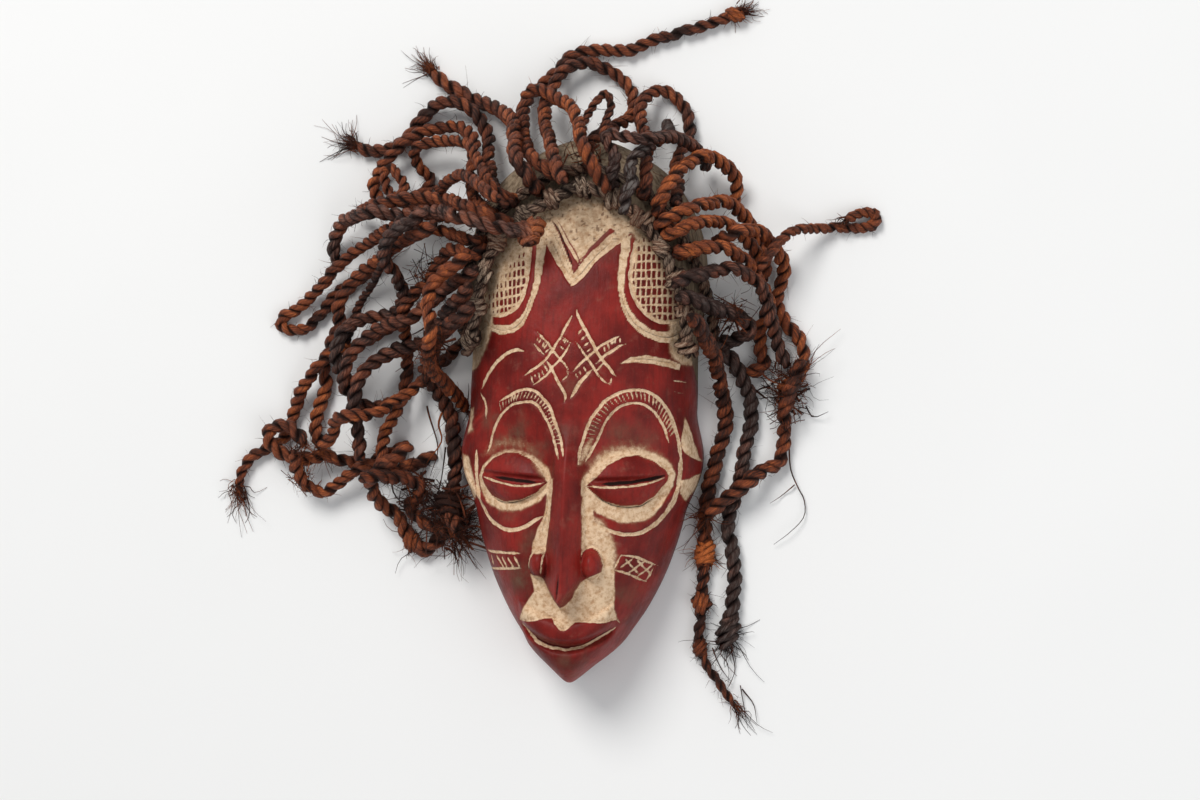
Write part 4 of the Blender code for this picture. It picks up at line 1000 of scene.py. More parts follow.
def line_cover(x, y, points, width, taper):
    """Cover of a cut line, which narrows towards its ends over the taper."""
    points = np.array(points, dtype=float)
    if len(points) > 2:
        points = through_points(points, 1.2)
    cover = np.full(x.shape, NO_COVER)
    low, high = points.min(axis=0) - width - 3, points.max(axis=0) + width + 3
    near = np.nonzero((x > low[0]) & (x < high[0]) & (y > low[1]) & (y < high[1]))[0]
    places = np.concatenate(([0.0], np.cumsum(np.hypot(*np.diff(points, axis=0).T))))
    for k in range(len(points) - 1):
        distance, share = segment_distance(x[near], y[near], points[k], points[k + 1])
        s = places[k] + share * (places[k + 1] - places[k])
        end = np.minimum(s, places[-1] - s)
        half = width / 2 * (0.3 + 0.7 * np.clip(end / taper, 0.0, 1.0))
        cover[near] = np.maximum(cover[near], half - distance)
    return cover


def most_cover(x, y, lines, taper):
    """Cover of a set of cut lines, each with its width and points."""
    return np.maximum.reduce([line_cover(x, y, points, width, taper) for width, points in lines])


def area_cover(x, y, corners):
    """Cover of an area with straight sides."""
    corners = np.array(corners, dtype=float)
    inside = np.zeros(x.shape, dtype=bool)
    distance = np.full(x.shape, 1e3)
    for a, b in zip(corners, np.roll(corners, -1, axis=0)):
        if a[1] != b[1]:
            crossing = (a[1] > y) != (b[1] > y)
            inside ^= crossing & (x < (b[0] - a[0]) * (y - a[1]) / (b[1] - a[1]) + a[0])
        distance = np.minimum(distance, segment_distance(x, y, a, b)[0])
    return np.where(inside, distance, -distance)


def halo_cover(x, y, lids, nose_side, widths):
    """Clay round an eye, with a width and an edge that depend on the direction from its middle."""
    lids = np.array(lids)
    middle = lids.mean(axis=0)
    near = np.nonzero(np.hypot(x - middle[0], y - middle[1]) < HALO_REACH)[0]
    result = np.zeros(x.shape)
    a, b = x[near], y[near]
    outside = -area_cover(a, b, lids)
    angle = np.degrees(np.arctan2(b - middle[1], a - middle[0])) % 360
    table = np.array(widths).T
    width = np.interp(angle, table[0], table[1])
    soft = np.interp(angle, table[0], table[2])
    cover = smoothstep(width + soft * 0.9, width - soft * 1.3, outside) * smoothstep(-0.3, 0.3, outside)
    result[near] = cover * smoothstep(-0.3, 0.3, np.abs(a) - nose_side)
    return result


def hairline_cover(x, y):
    """How far a place is from the middle of the hair band, more than nothing on the face's side."""
    line = through_points(HAIRLINE, 2.0)
    sign = np.where(area_cover(x, y, np.vstack((line, ((90, -160), (-90, -160))))) > 0, 1.0, -1.0)
    return sign * np.minimum.reduce([segment_distance(x, y, a, b)[0] for a, b in zip(line, line[1:])])


def hatch_cells(x, y, field):
    """Cover of the dark cells that crossed cuts leave between them, and of the field that they are in."""
    outline, directions, spacings, widths, start, growth = field
    inside = area_cover(x, y, outline)
    cells = inside - 1.0
    for direction, spacing, width in zip(directions, spacings, widths):
        a = math.radians(direction)
        across_lines = -x * math.sin(a) + y * math.cos(a)
        off = np.abs((across_lines / spacing) % 1.0 - 0.5) * spacing
        cells = np.minimum(cells, spacing / 2 - width / 2 - off)
    fade = np.abs(x - start[0]) * growth[0] + np.clip(y - start[1], 0.0, None) * growth[1]
    return cells - np.clip(fade - 0.55, 0.0, None), inside


def unsteady(x, y):
    """Where the knife cut for each place, a little off true."""
    moved = [x, y - PATTERN_RISE]
    for wave, (reach, length) in enumerate(KNIFE_STRAYS):
        for axis in (0, 1):
            moved[axis] = moved[axis] + reach * Noise(3 + axis + 2 * wave).at(x / length, y / length)
    return moved


def brow_rungs():
    """The short cuts of the brows' ladders, each with its width and ends."""
    rungs = []
    for outer, inner, count in BROW_LADDERS:
        outer, inner = through_points(outer, RUNG_STEP), through_points(inner, RUNG_STEP)
        for share in np.linspace(0.0, 1.0, count):
            a = outer[round(share * (len(outer) - 1))]
            b = inner[round(share * (len(inner) - 1))]
            rungs.append((RUNG_WIDTH, [a * (1 - part) + b * part for part in RUNG_SPAN]))
    return rungs


def soft_clay(x, y, hair):
    """How thick the rubbed clay lies at each place, between nothing and one."""
    layers = [strength * smoothstep(-softness, softness, area_cover(x, y, corners))
              for softness, strength, corners in CHALK_AREAS]
    layers += [strength * smoothstep(-softness, softness, line_cover(x, y, points, width, BAND_TAPER))
               for width, softness, strength, points in CHALK_BANDS]
    layers += [halo_cover(x, y, *halo) for halo in EYE_HALOS]
    layers.append(smoothstep(*HAIR_CLAY_EDGE, hair) * (hair > 0))
    return np.maximum.reduce(layers)


def dirt_cover(x, y, hair, wash):
    """How dirty each place is next to the hair and over the forehead's top, and how much darker it is in
    the darkened places.
    """
    dirt = np.maximum(smoothstep(*HAIR_DIRT_EDGE, hair), TOP_DIRT_SHARE * smoothstep(*TOP_DIRT, y))
    dirt = dirt * (hair > DIRT_END)
    ragged = 1 + 0.5 * Noise(12).at(x / 5.0, y / 7.0)
    for place_x, place_y, reach, strength in DARKENED_PLACES:
        away = np.hypot(x - place_x, y - PATTERN_RISE - place_y) * ragged
        dirt = np.maximum(dirt, strength * (1 - 0.7 * wash) * smoothstep(reach, 0.0, away))
    return dirt


def pattern(x, y):
    """Six marks for each place: cut lines, soft clay, dark cuts that carry painted shade, bare wood, pits
    and dirt.
    """
    a, b = unsteady(x, y)
    hair = hairline_cover(x, y)
    strokes = [(width, (ends[:2], ends[2:])) for width, *marks in CHALK_STROKES for ends in marks]
    cuts = ((CHALK_LINES, LINE_TAPER), (strokes, STROKE_TAPER), (brow_rungs(), RUNG_TAPER))
    line = np.maximum.reduce([most_cover(a, b, lines, taper) for lines, taper in cuts])
    wash = soft_clay(a, b, hair)
    hatched = np.full(x.shape, NO_COVER)
    for field in HATCH_FIELDS:
        cells, inside = hatch_cells(a, b, field)
        hatched = np.maximum(hatched, cells)
        wash = np.maximum(wash, smoothstep(-0.2, 0.2, inside)) * smoothstep(0.15, -0.15, cells)
        line = np.minimum(line, np.where(cells > 0, -cells, line))
    stain = most_cover(a, b, STAIN_LINES, STAIN_TAPER)
    wash = wash * smoothstep(0.25, -0.25, stain)
    line = np.minimum(line, -stain)
    for corners in STAIN_AREAS:
        wash = wash * smoothstep(0.3, -0.3, area_cover(a, b, corners))
    dark = np.maximum(most_cover(a, b, DARK_LINES, LINE_TAPER), np.minimum(hatched, HATCH_DARKNESS))
    holes = Noise(8).at(x / 1.3, y / 1.1) * 0.7 + Noise(9).at(x / 0.8, y / 0.8) * 0.3
    rough = smoothstep(*TOP_PITS, y) + LIP_PIT_SHARE * smoothstep(*LIP_PITS, y)
    pitted = wash * smoothstep(0.34, 0.58, holes) * rough * (hair > PITS_END)
    return line, wash, dark, smoothstep(*BARE_EDGE, hair), pitted, dirt_cover(x, y, hair, wash)


def fine_height(x, y):
    """The carved face with its finer cuts, and the pattern's marks."""
    a, b = x / MM, y / MM
    marks = pattern(a, b)
    line, wash, dark, bare, pitted, _ = marks
    relief = -LINE_DEPTH * smoothstep(-0.45, 0.45, line)
    relief -= WASH_DEPTH * wash
    relief -= DARK_DEPTH * smoothstep(-0.5, 0.4, dark)
    relief -= PIT_DEPTH * pitted
    relief += TOOL_MARKS * (Noise(21).at(a / 9.0, b / 12.0) + 0.4 * Noise(22).at(a / 3.2, b / 5.0))
    relief += bare * 0.35 * Noise(23).at(a / 1.1, b / 14.0)
    inner = smoothstep(1.0, 0.96, np.abs(x) / np.maximum(outline_half_width(y), 1e-6))
    return mask_height(x, y) + relief * MM * inner, marks


def spread_rows():
    """Rows from chin to crown, closer over the cuts of the face and where the ends round over."""
    v = np.linspace(-ROWS_REACH, ROWS_REACH, 20 * FINE_ROWS)
    face = smoothstep(-0.92, -0.84, v) * smoothstep(0.76, 0.68, v)
    density = 0.42 + 0.58 * face + 1.2 * smoothstep(0.955, ROWS_REACH, np.abs(v))
    share = np.cumsum(density)
    return np.interp(np.linspace(share[0], share[-1], FINE_ROWS), share, v)


def surface_points(rows, columns, width_of, height_of):
    """A grid of points over the outline, with its edge on the rim's plane."""
    y = np.repeat(rows[:, None], len(columns), axis=1)
    x = width_of(y) * columns[None, :]
    height = height_of(x.ravel(), y.ravel())
    z, marks = height if isinstance(height, tuple) else (height, None)
    z = z.reshape(x.shape)
    z[:, 0] = 0.0
    z[:, -1] = 0.0
    return np.stack((x, y, np.maximum(z, 0.0)), axis=-1), marks


def grid_faces(rows, columns, start):
    a = np.arange(rows * columns).reshape(rows, columns) + start
    quads = np.stack((a[:-1, :-1], a[:-1, 1:], a[1:, 1:], a[1:, :-1]), axis=-1)
    return quads.reshape(-1, 4)


def fine_mask():
    """The carved shell: face, hollow and flat rim, with the pattern's marks at each point."""
    rows = spread_rows()
    outer, marks = surface_points(rows * MASK_LENGTH / 2, column_places(FINE_COLUMNS), outline_half_width,
                                  fine_height)
    length = MASK_LENGTH - 2 * SIDE_WALL
    inner, _ = surface_points(
        rows * length / 2, column_places(FINE_HOLLOW_COLUMNS),
        lambda y: half_width(y, length, MASK_WIDTH - 2 * SIDE_WALL), hollow_height,
    )
    count, wide, narrow = len(rows), outer.shape[1], inner.shape[1]
    outer_size, inner_size = count * wide, count * narrow
    points = np.vstack((outer.reshape(-1, 3), inner.reshape(-1, 3),
                        ((0, -MASK_LENGTH / 2, 0), (0, MASK_LENGTH / 2, 0), (0, -length / 2, 0),
                         (0, length / 2, 0))))
    faces = grid_faces(count, wide, 0).tolist()
    faces += grid_faces(count, narrow, outer_size)[:, ::-1].tolist()
    chin, crown, inner_chin, inner_crown = (outer_size + inner_size + k for k in range(4))
    for k in range(wide - 1):
        faces.append((chin, k + 1, k))
        faces.append((crown, outer_size - wide + k, outer_size - wide + k + 1))
    first, last = outer_size, outer_size + inner_size - narrow
    for k in range(narrow - 1):
        faces.append((inner_chin, first + k, first + k + 1))
        faces.append((inner_crown, last + k + 1, last + k))
    outside = [chin, *(wide - 1 + wide * k for k in range(count)), crown,
               *(wide * k for k in reversed(range(count)))]
    inside = [inner_chin, *(first + narrow - 1 + narrow * k for k in range(count)), inner_crown,
              *(first + narrow * k for k in reversed(range(count)))]
    for k in range(len(outside)):
        n = (k + 1) % len(outside)
        faces.append((outside[k], outside[n], inside[n], inside[k]))
    data = bpy.data.meshes.new("mask_carved")
    data.from_pydata(points.tolist(), [], faces)
    rest = len(points) - outer_size
    back = np.concatenate((np.zeros(outer_size), np.ones(rest)))
    back[chin:crown + 1] = 0.0
    for (name, behind), values in zip(MARKS, marks):
        add_values(data, name, np.concatenate((values, np.full(rest, behind))))
    add_values(data, "back", back)
    mesh = bmesh.new()
    mesh.from_mesh(data)
    bmesh.ops.recalc_face_normals(mesh, faces=mesh.faces)
    mesh.to_mesh(data)
    mesh.free()
    data.shade_smooth()
    return data


def add_values(data, name, values):
    attribute = data.attributes.new(name, "FLOAT", "POINT")
    attribute.data.foreach_set("value", np.asarray(values, dtype=np.float32))


def add_vectors(data, name, values):
    attribute = data.attributes.new(name, "FLOAT_VECTOR", "POINT")
    attribute.data.foreach_set("vector", np.asarray(values, dtype=np.float32).ravel())


# Ropes, knots and loose fibres


def frames_along(points):
    """Direction, sideways and upward at each point of a path."""
    ahead = np.gradient(points, axis=0)
    ahead /= np.maximum(np.linalg.norm(ahead, axis=1), 1e-9)[:, None]
    aside = np.column_stack((-ahead[:, 1], ahead[:, 0], np.zeros(len(points))))
    flat = np.linalg.norm(aside, axis=1)
    aside[flat < 1e-6] = (1.0, 0.0, 0.0)
    aside /= np.maximum(flat, 1e-6)[:, None] * (flat >= 1e-6)[:, None] + (flat < 1e-6)[:, None]
    return ahead, aside, np.cross(ahead, aside)


def arc_places(points):
    return np.concatenate(([0.0], np.cumsum(np.linalg.norm(np.diff(points, axis=0), axis=1))))


def resample(points, step):
    """The same path with points a step apart."""
    places = arc_places(points)
    wanted = np.linspace(0.0, places[-1], max(3, round(places[-1] / step) + 1))
    return np.column_stack([np.interp(wanted, places, points[:, k]) for k in range(3)])


class Bundle:
    """Tubes gathered into one mesh, each with its tone, its dust, its own fibre direction, and how far each
    point faces out from the tube's middle line, which the material turns into painted crevice shade.
    """

    def __init__(self):
        self.points, self.faces, self.tones, self.dust, self.fibres, self.facing = [], [], [], [], [], []
        self.size = 0
        self.strands = 0

    def tube(self, points, radii, sides, tone, dust=0.0, lobes=0.0, twist=0.0, middle=None):
        """A tube with lobes round it that twist along it, laid round a middle line if one is given."""
        points = np.asarray(points, dtype=float)
        count = len(points)
        _, aside, upward = frames_along(points)
        places = arc_places(points)[:, None] / MM
        turn = 2 * math.pi * np.arange(sides) / sides
        swirl = turn + places * twist
        self.strands += 1
        lumps = Noise(300 + self.strands % 7).at(swirl * 1.3, places / 2.5)
        ripple = 1 + lobes * (0.5 * np.sin(5 * swirl) + 0.8 * lumps)
        radii = np.broadcast_to(radii, (count,))[:, None] * ripple
        ring = np.cos(turn)[:, None] * aside[:, None] + np.sin(turn)[:, None] * upward[:, None]
        body = points[:, None] + radii[:, :, None] * ring
        body[:, :, 2] = np.maximum(body[:, :, 2], LOWEST_FIBRE)
        # How far each point faces out from the middle line; the fibre material paints shade where it faces
        # inward, into the crevices between strands
        facing = np.ones((count, sides))
        if middle is not None:
            outward = points - middle
            outward /= np.maximum(np.linalg.norm(outward, axis=1), 1e-9)[:, None]
            facing = (ring * outward[:, None]).sum(axis=2)
        own = 7.3 * self.strands
        along = np.broadcast_to(places * 0.06, swirl.shape)
        self.points.append(body.reshape(-1, 3))
        self.facing.append(facing.ravel())
        self.tones.append(np.repeat(np.broadcast_to(tone, (count,)), sides))
        self.dust.append(np.full(count * sides, dust))
        fibres = np.stack((np.cos(swirl) + own, np.sin(swirl) + own, along), axis=-1)
        self.fibres.append(fibres.reshape(-1, 3))
        self.faces.extend(self.around(count, sides))
        self.faces.append(tuple(self.size + k for k in reversed(range(sides))))
        self.faces.append(tuple(self.size + (count - 1) * sides + k for k in range(sides)))
        self.size += count * sides

    def around(self, count, sides):
        a = np.arange(count * sides).reshape(count, sides) + self.size
        b = np.roll(a, -1, axis=1)
        quads = np.stack((a[:-1], b[:-1], b[1:], a[1:]), axis=-1)
        return quads.reshape(-1, 4).tolist()

    def hair(self, points, radius, tone, dust=0.0):
        """A thin fibre that comes to a point."""
        radii = radius * np.linspace(1.0, 0.25, len(points))
        self.tube(points, radii, 3, tone, dust)

    def mesh(self, name):
        data = bpy.data.meshes.new(name)
        data.from_pydata(np.vstack(self.points).tolist(), [], self.faces)
        add_values(data, "tone", np.concatenate(self.tones))
        add_values(data, "dust", np.concatenate(self.dust))
        add_values(data, "facing", np.concatenate(self.facing))
        add_vectors(data, "fibre", np.vstack(self.fibres))
        data.shade_smooth()
        return data


def drift(noise, places, kind, row):
    """Slow uneven change along a strand: how much and over what length, on one row of the noise."""
    amount, length = kind
    return amount * noise.at(places / length, row)


def twisted(bundle, path, diameter, tone, dust, pitch, offset, radius, sides, step, thin=1.0):
    """Two uneven strands laid round one another along a path, which may thin out towards its end."""
    line = resample(path, step)
    _, aside, upward = frames_along(line)
    places = arc_places(line)
    end = np.minimum(places, places[-1] - places)
    full = smoothstep(-0.5 * diameter, 0.5 * diameter, end)
    diameter = diameter * np.interp(places / places[-1], (0.0, THIN_FROM, 1.0), (1.0, 1.0, thin))
    sway = Noise(140 + bundle.strands % 89)
    swing = drift(sway, places, SWAY_ASIDE, 2.5)[:, None] * aside
    line = line + ROPE_SWAY * full[:, None] * (swing + drift(sway, places, SWAY_UP, 9.5)[:, None] * upward)
    for k in range(2):
        own = Noise(40 + (bundle.strands * 13 + k) % 97)
        turn = 2 * math.pi * (places / pitch + k / 2) + drift(own, places, TURN_DRIFT, 0.7 + k)
        away = diameter * offset * full * (1 + drift(own, places, OFFSET_DRIFT, 3.3))
        centre = line + away[:, None] * (np.cos(turn)[:, None] * aside + np.sin(turn)[:, None] * upward)
        thick = diameter * radius * (1 + drift(own, places, GIRTH_DRIFT, 8.1)
                                     + drift(own, places, FINE_GIRTH_DRIFT, 4.1))
        shade = tone + drift(own, places, STRAND_TONE_DRIFT, 5.2) + 0.04 * (k - 0.5)
        shade = shade + drift(sway, places, ROPE_TONE_DRIFT, 6.6)
        bundle.tube(centre, thick * (0.45 + 0.55 * full), sides, shade, dust, 0.11, 0.30, line)


def inside_reach(points):
    """The same points, held above the floor and within reach of the part's box."""
    low, high = np.array(CAD_BOX)
    low, high = low - FIBRE_REACH, high + FIBRE_REACH
    low[2] = LOWEST_FIBRE
    return np.clip(points, low, high)


def tuft(bundle, rng, place, direction, count, length, spread, tone):
    """Loose fibres that fan out of a rope's end and sink towards what is under them."""
    direction = direction / np.linalg.norm(direction)
    for _ in range(count):
        lean = direction + spread * rng.normal(size=3) * (1.0, 1.0, 0.45)
        lean /= np.linalg.norm(lean)
        reach = length * rng.uniform(0.35, 1.15)
        curl = rng.normal(size=3).clip(-1.3, 1.3) * (1.0, 1.0, 0.2) * reach * 0.42
        wave = rng.normal(size=3) * (1.0, 1.0, 0.3) * reach * 0.09
        s = np.linspace(0.0, 1.0, 7)[:, None]
        root = place + rng.normal(size=3) * TUFT_ROOT
        points = root + lean * reach * s + curl * s * s + wave * np.sin(2 * math.pi * s)
        points[:, 2] -= 0.3 * reach * s[:, 0] ** 2
        bundle.hair(inside_reach(points), rng.uniform(*TUFT_FIBRE), tone + rng.uniform(-0.45, 0.1))


def fuzz(bundle, rng, path, diameter, tone, spacing, length):
    """Single fibres that stand out of a rope along its length, some of them long and curled."""
    line = resample(path, spacing)
    ahead, aside, upward = frames_along(line)
    for k in range(1, len(line) - 1):
        if rng.random() < FUZZ_GAP_SHARE:
            continue
        angle = rng.uniform(0, 2 * math.pi)
        out = math.cos(angle) * aside[k] + math.sin(angle) * upward[k]
        lean = out * rng.uniform(0.15, 0.8) + ahead[k] * rng.uniform(-1.0, 1.0)
        lean /= np.linalg.norm(lean)
        reach = length * rng.uniform(0.3, 1.0) * (LONG_FUZZ if rng.random() < LONG_FUZZ_SHARE else 1.0)
        curl = rng.normal(size=3).clip(-1.5, 1.5) * reach * 0.35
        s = np.linspace(0.0, 1.0, 4)[:, None]
        points = line[k] + out * diameter * 0.42 + lean * reach * s + curl * s * s
        bundle.hair(inside_reach(points), rng.uniform(*FUZZ_FIBRE), tone + rng.uniform(-0.4, 0.1))


def tangle(bundle, rng, centre, reach, count, tone):
    """A clump of loose fibres that run every way round a place."""
    for _ in range(count):
        away = rng.normal(size=3) * (1.0, 1.0, 0.35)
        root = centre + rng.normal(size=3) * (0.42, 0.42, 0.16) * reach
        lean = away / np.linalg.norm(away)
        curl = rng.normal(size=3) * (1.0, 1.0, 0.3) * reach * 0.5
        s = np.linspace(-0.5, 0.5, 6)[:, None]
        points = root + lean * reach * rng.uniform(0.5, 1.6) * s + curl * (s * s - 0.1)
        thick = rng.uniform(*(TANGLE_STRAND if rng.random() < TANGLE_STRAND_SHARE else TANGLE_FIBRE))
        bundle.hair(inside_reach(points), thick, tone + rng.uniform(-0.3, 0.35))


def root_run(path, anchors):
    """A short run that leads a rope's start into the nearest cord of the wig, or else a little way down."""
    gaps = np.linalg.norm(anchors - path[0], axis=1)
    near = anchors[gaps.argmin()] - (0.0, 0.0, ROOT_DEPTH)
    reach = gaps.min()
    if reach > ROOT_REACH:
        near = path[0] + (path[0] - path[3]) * 1.2 - (0.0, 0.0, 3 * ROOT_DEPTH)
        reach = ROOT_DEPTH
    ahead = path[0] - path[3]
    middle = (path[0] + near) / 2 + ahead / np.linalg.norm(ahead) * reach * 0.25
    return through_points(np.array((near, middle, path[0], path[3])), FINE_STEP)


def wound_knot(bundle, rng, centre, axis, length, girth, strand, turns, tone, dust):
    """A knot of a few thick strands wound over one another, long along its axis."""
    axis = axis / np.linalg.norm(axis)
    side = np.cross(axis, (0.0, 0.0, 1.0))
    side /= np.linalg.norm(side)
    top = np.cross(side, axis)
    for layer, hand in enumerate((1.0, -1.0)):
        s = np.linspace(-0.9, 0.9, int(12 * turns))
        turn = hand * s * turns * math.pi + rng.uniform(0, 6.28)
        swell = np.sqrt(1 - s * s) * (girth - strand) * (0.78 + 0.22 * layer)
        tilt = rng.uniform(0.5, 1.1) * rng.choice((-1.0, 1.0))
        along = s * (length / 2 - strand) + tilt * swell * np.cos(turn) * 0.5
        middle = centre + along[:, None] * axis
        points = middle + (swell * np.cos(turn))[:, None] * side + (swell * np.sin(turn))[:, None] * top
        wave = Noise(200 + bundle.strands % 31).at(np.arange(len(s)) / 3.0, 0.5)
        shade = tone + 0.12 * rng.normal() + 0.1 * wave
        bundle.tube(points, strand * (1 + 0.2 * wave), 10, shade, dust, 0.12, 0.35, middle)


def smooth_ropes(ground):
    """Centre lines of the ropes: the solids' own heights on a finer route, then laid clear again."""
    coarse = lay_ropes(ground, ROPE_STEP, RUN_SAMPLES, LAYING_ROUNDS)
    begin = []
    for (_, route), chain in zip(ROPES, coarse):
        fine = through_points(hung_to_mask(route), FINE_STEP)
        places = arc_places(np.column_stack((chain[:, :2], np.zeros(len(chain)))))
        wanted = np.linspace(0.0, places[-1], len(fine))
        begin.append(smooth_through(list(zip(places, chain[:, 2])), wanted))
    return lay_ropes(ground, FINE_STEP, 1, FINE_ROUNDS, begin)


# Materials


class Nodes:
    """A material's nodes, added one after another."""

    def __init__(self, name):
        self.material = bpy.data.materials.new(name)
        self.material.use_nodes = True
        self.tree = self.material.node_tree
        self.tree.nodes.clear()

    def add(self, kind, inputs=(), **settings):
        node = self.tree.nodes.new(kind)
        for key, value in settings.items():
            setattr(node, key, value)
        for key, value in dict(inputs).items():
            if isinstance(value, bpy.types.NodeSocket):
                self.tree.links.new(value, node.inputs[key])
            else:
                node.inputs[key].default_value = value
        return node

    def value(self, name):
        return self.add("ShaderNodeAttribute", attribute_name=name).outputs["Fac"]

    def vector(self, name):
        return self.add("ShaderNodeAttribute", attribute_name=name).outputs["Vector"]

    def math(self, operation, *values, clamp=False):
        node = self.add("ShaderNodeMath", enumerate(values), operation=operation, use_clamp=clamp)
        return node.outputs[0]

    def plus(self, *values):
        return self.math("ADD", *values)

    def times(self, *values, clamp=False):
        return self.math("MULTIPLY", *values, clamp=clamp)

    def most(self, *values):
        return self.math("MAXIMUM", *values)

    def about_half(self, value):
        return self.math("SUBTRACT", value, 0.5)

    def scaled(self, vector, scale):
        return self.add("ShaderNodeMapping", {"Vector": vector, "Scale": scale}).outputs[0]

    def noise(self, vector, scale, detail=4.0, roughness=0.55):
        inputs = {"Vector": vector, "Scale": scale, "Detail": detail, "Roughness": roughness}
        return self.add("ShaderNodeTexNoise", inputs).outputs["Fac"]

    def step(self, value, low, high, bottom=0.0, top=1.0):
        inputs = {"Value": value, "From Min": low, "From Max": high, "To Min": bottom, "To Max": top}
        return self.add("ShaderNodeMapRange", inputs, interpolation_type="SMOOTHSTEP").outputs[0]

    def blend(self, share, low, high, kind="MIX"):
        low, high = ((*c, 1.0) if isinstance(c, tuple) else c for c in (low, high))
        inputs = {0: share, 6: low, 7: high}
        return self.add("ShaderNodeMix", inputs, data_type="RGBA", blend_type=kind).outputs[2]

    def finish(self, colour, roughness, height, depth, **more):
        bump = self.add("ShaderNodeBump", {"Height": height, "Strength": 1.0, "Distance": depth})
        inputs = {"Base Color": colour, "Roughness": roughness, "Normal": bump.outputs[0], **more}
        shader = self.add("ShaderNodeBsdfPrincipled", inputs)
        out = self.add("ShaderNodeOutputMaterial")
        self.tree.links.new(shader.outputs[0], out.inputs[0])
        return self.material


def wood_material():
    """Red stain polished by handling, white clay in the cuts, and grey bare wood under the wig."""
    n = Nodes("stained_wood")
    place = n.add("ShaderNodeTexCoord").outputs["Object"]
    patches = n.noise(place, 42.0, 4.0, 0.6)
    wear = n.noise(place, 150.0, 4.0, 0.65)
    grain = n.noise(n.scaled(place, (1.0, 0.12, 1.0)), 520.0, 3.0, 0.6)
    specks = n.noise(place, 1500.0, 2.0)
    grit = n.noise(place, 420.0, 5.0, 0.65)
    stain = n.blend(n.step(patches, 0.32, 0.68), DEEP_STAIN, BRIGHT_STAIN)
    stain = n.blend(n.step(wear, 0.52, 0.76, 0.0, 0.45), stain, WORN_STAIN)
    stain = n.blend(n.step(grain, 0.44, 0.72, 0.0, 0.35), stain, STAIN_IN_GRAIN)
    stain = n.blend(n.step(specks, 0.66, 0.80, 0.0, 0.35), stain, STAIN_SPECKS)
    clay = n.blend(n.step(grit, 0.30, 0.60), DEEP_CLAY, PALE_CLAY)
    clay = n.blend(n.step(wear, 0.50, 0.72, 0.0, 0.45), clay, WORN_CLAY)
    clay = n.blend(n.step(specks, 0.62, 0.76, 0.0, 0.55), clay, CLAY_SPECKS)
    bare = n.blend(n.step(grain, 0.35, 0.70), *BARE_WOOD)
    rough = n.about_half(grit)
    worn = n.plus(n.times(rough, 0.7), n.times(n.about_half(wear), 0.6))
    lines = n.step(n.plus(n.value("line"), worn), -0.10, 0.22)
    patchy = n.plus(n.value("wash"), n.times(worn, 0.9))
    chalk = n.most(lines, n.step(patchy, 0.32, 0.80))
    colour = n.blend(n.step(patchy, 0.06, 0.50, 0.0, 0.8), stain, THIN_CLAY)
    colour = n.blend(n.times(chalk, 0.96), colour, clay)
    # Dirt by the hair and over the forehead's top, and brown darkening in the darkened places
    dirt = n.times(n.value("dirt"), n.step(wear, 0.30, 0.60, 0.25, 1.0))
    colour = n.blend(n.times(dirt, 0.8), colour, DIRT)
    colour = n.blend(n.value("bare"), colour, bare)
    # Painted shade: the dark lines are painted near black, standing in for the shade in the eye slits and
    # the bottoms of the cuts; the cracks and scratches among them are real
    cuts = n.step(n.plus(n.value("dark"), n.times(rough, 0.5)), -0.25, 0.45, 0.0, 0.97)
    colour = n.blend(cuts, colour, SHADE_IN_CUTS_AND_CRACKS)
    colour = n.blend(n.step(n.value("pits"), 0.15, 0.8, 0.0, 0.7), colour, PIT)
    raw = n.blend(n.step(grain, 0.35, 0.70), *RAW_WOOD)
    colour = n.blend(n.value("back"), colour, raw)
    dull = n.most(n.most(chalk, n.value("bare")), n.most(cuts, n.value("back")))
    polish = n.step(wear, 0.30, 0.70, 0.40, 0.56)
    roughness = n.plus(polish, n.times(dull, 0.40))
    height = n.plus(n.times(grain, 0.4), n.times(grit, n.plus(dull, 0.35)))
    return n.finish(colour, roughness, height, 0.00045, **{"Specular IOR Level": 0.17})


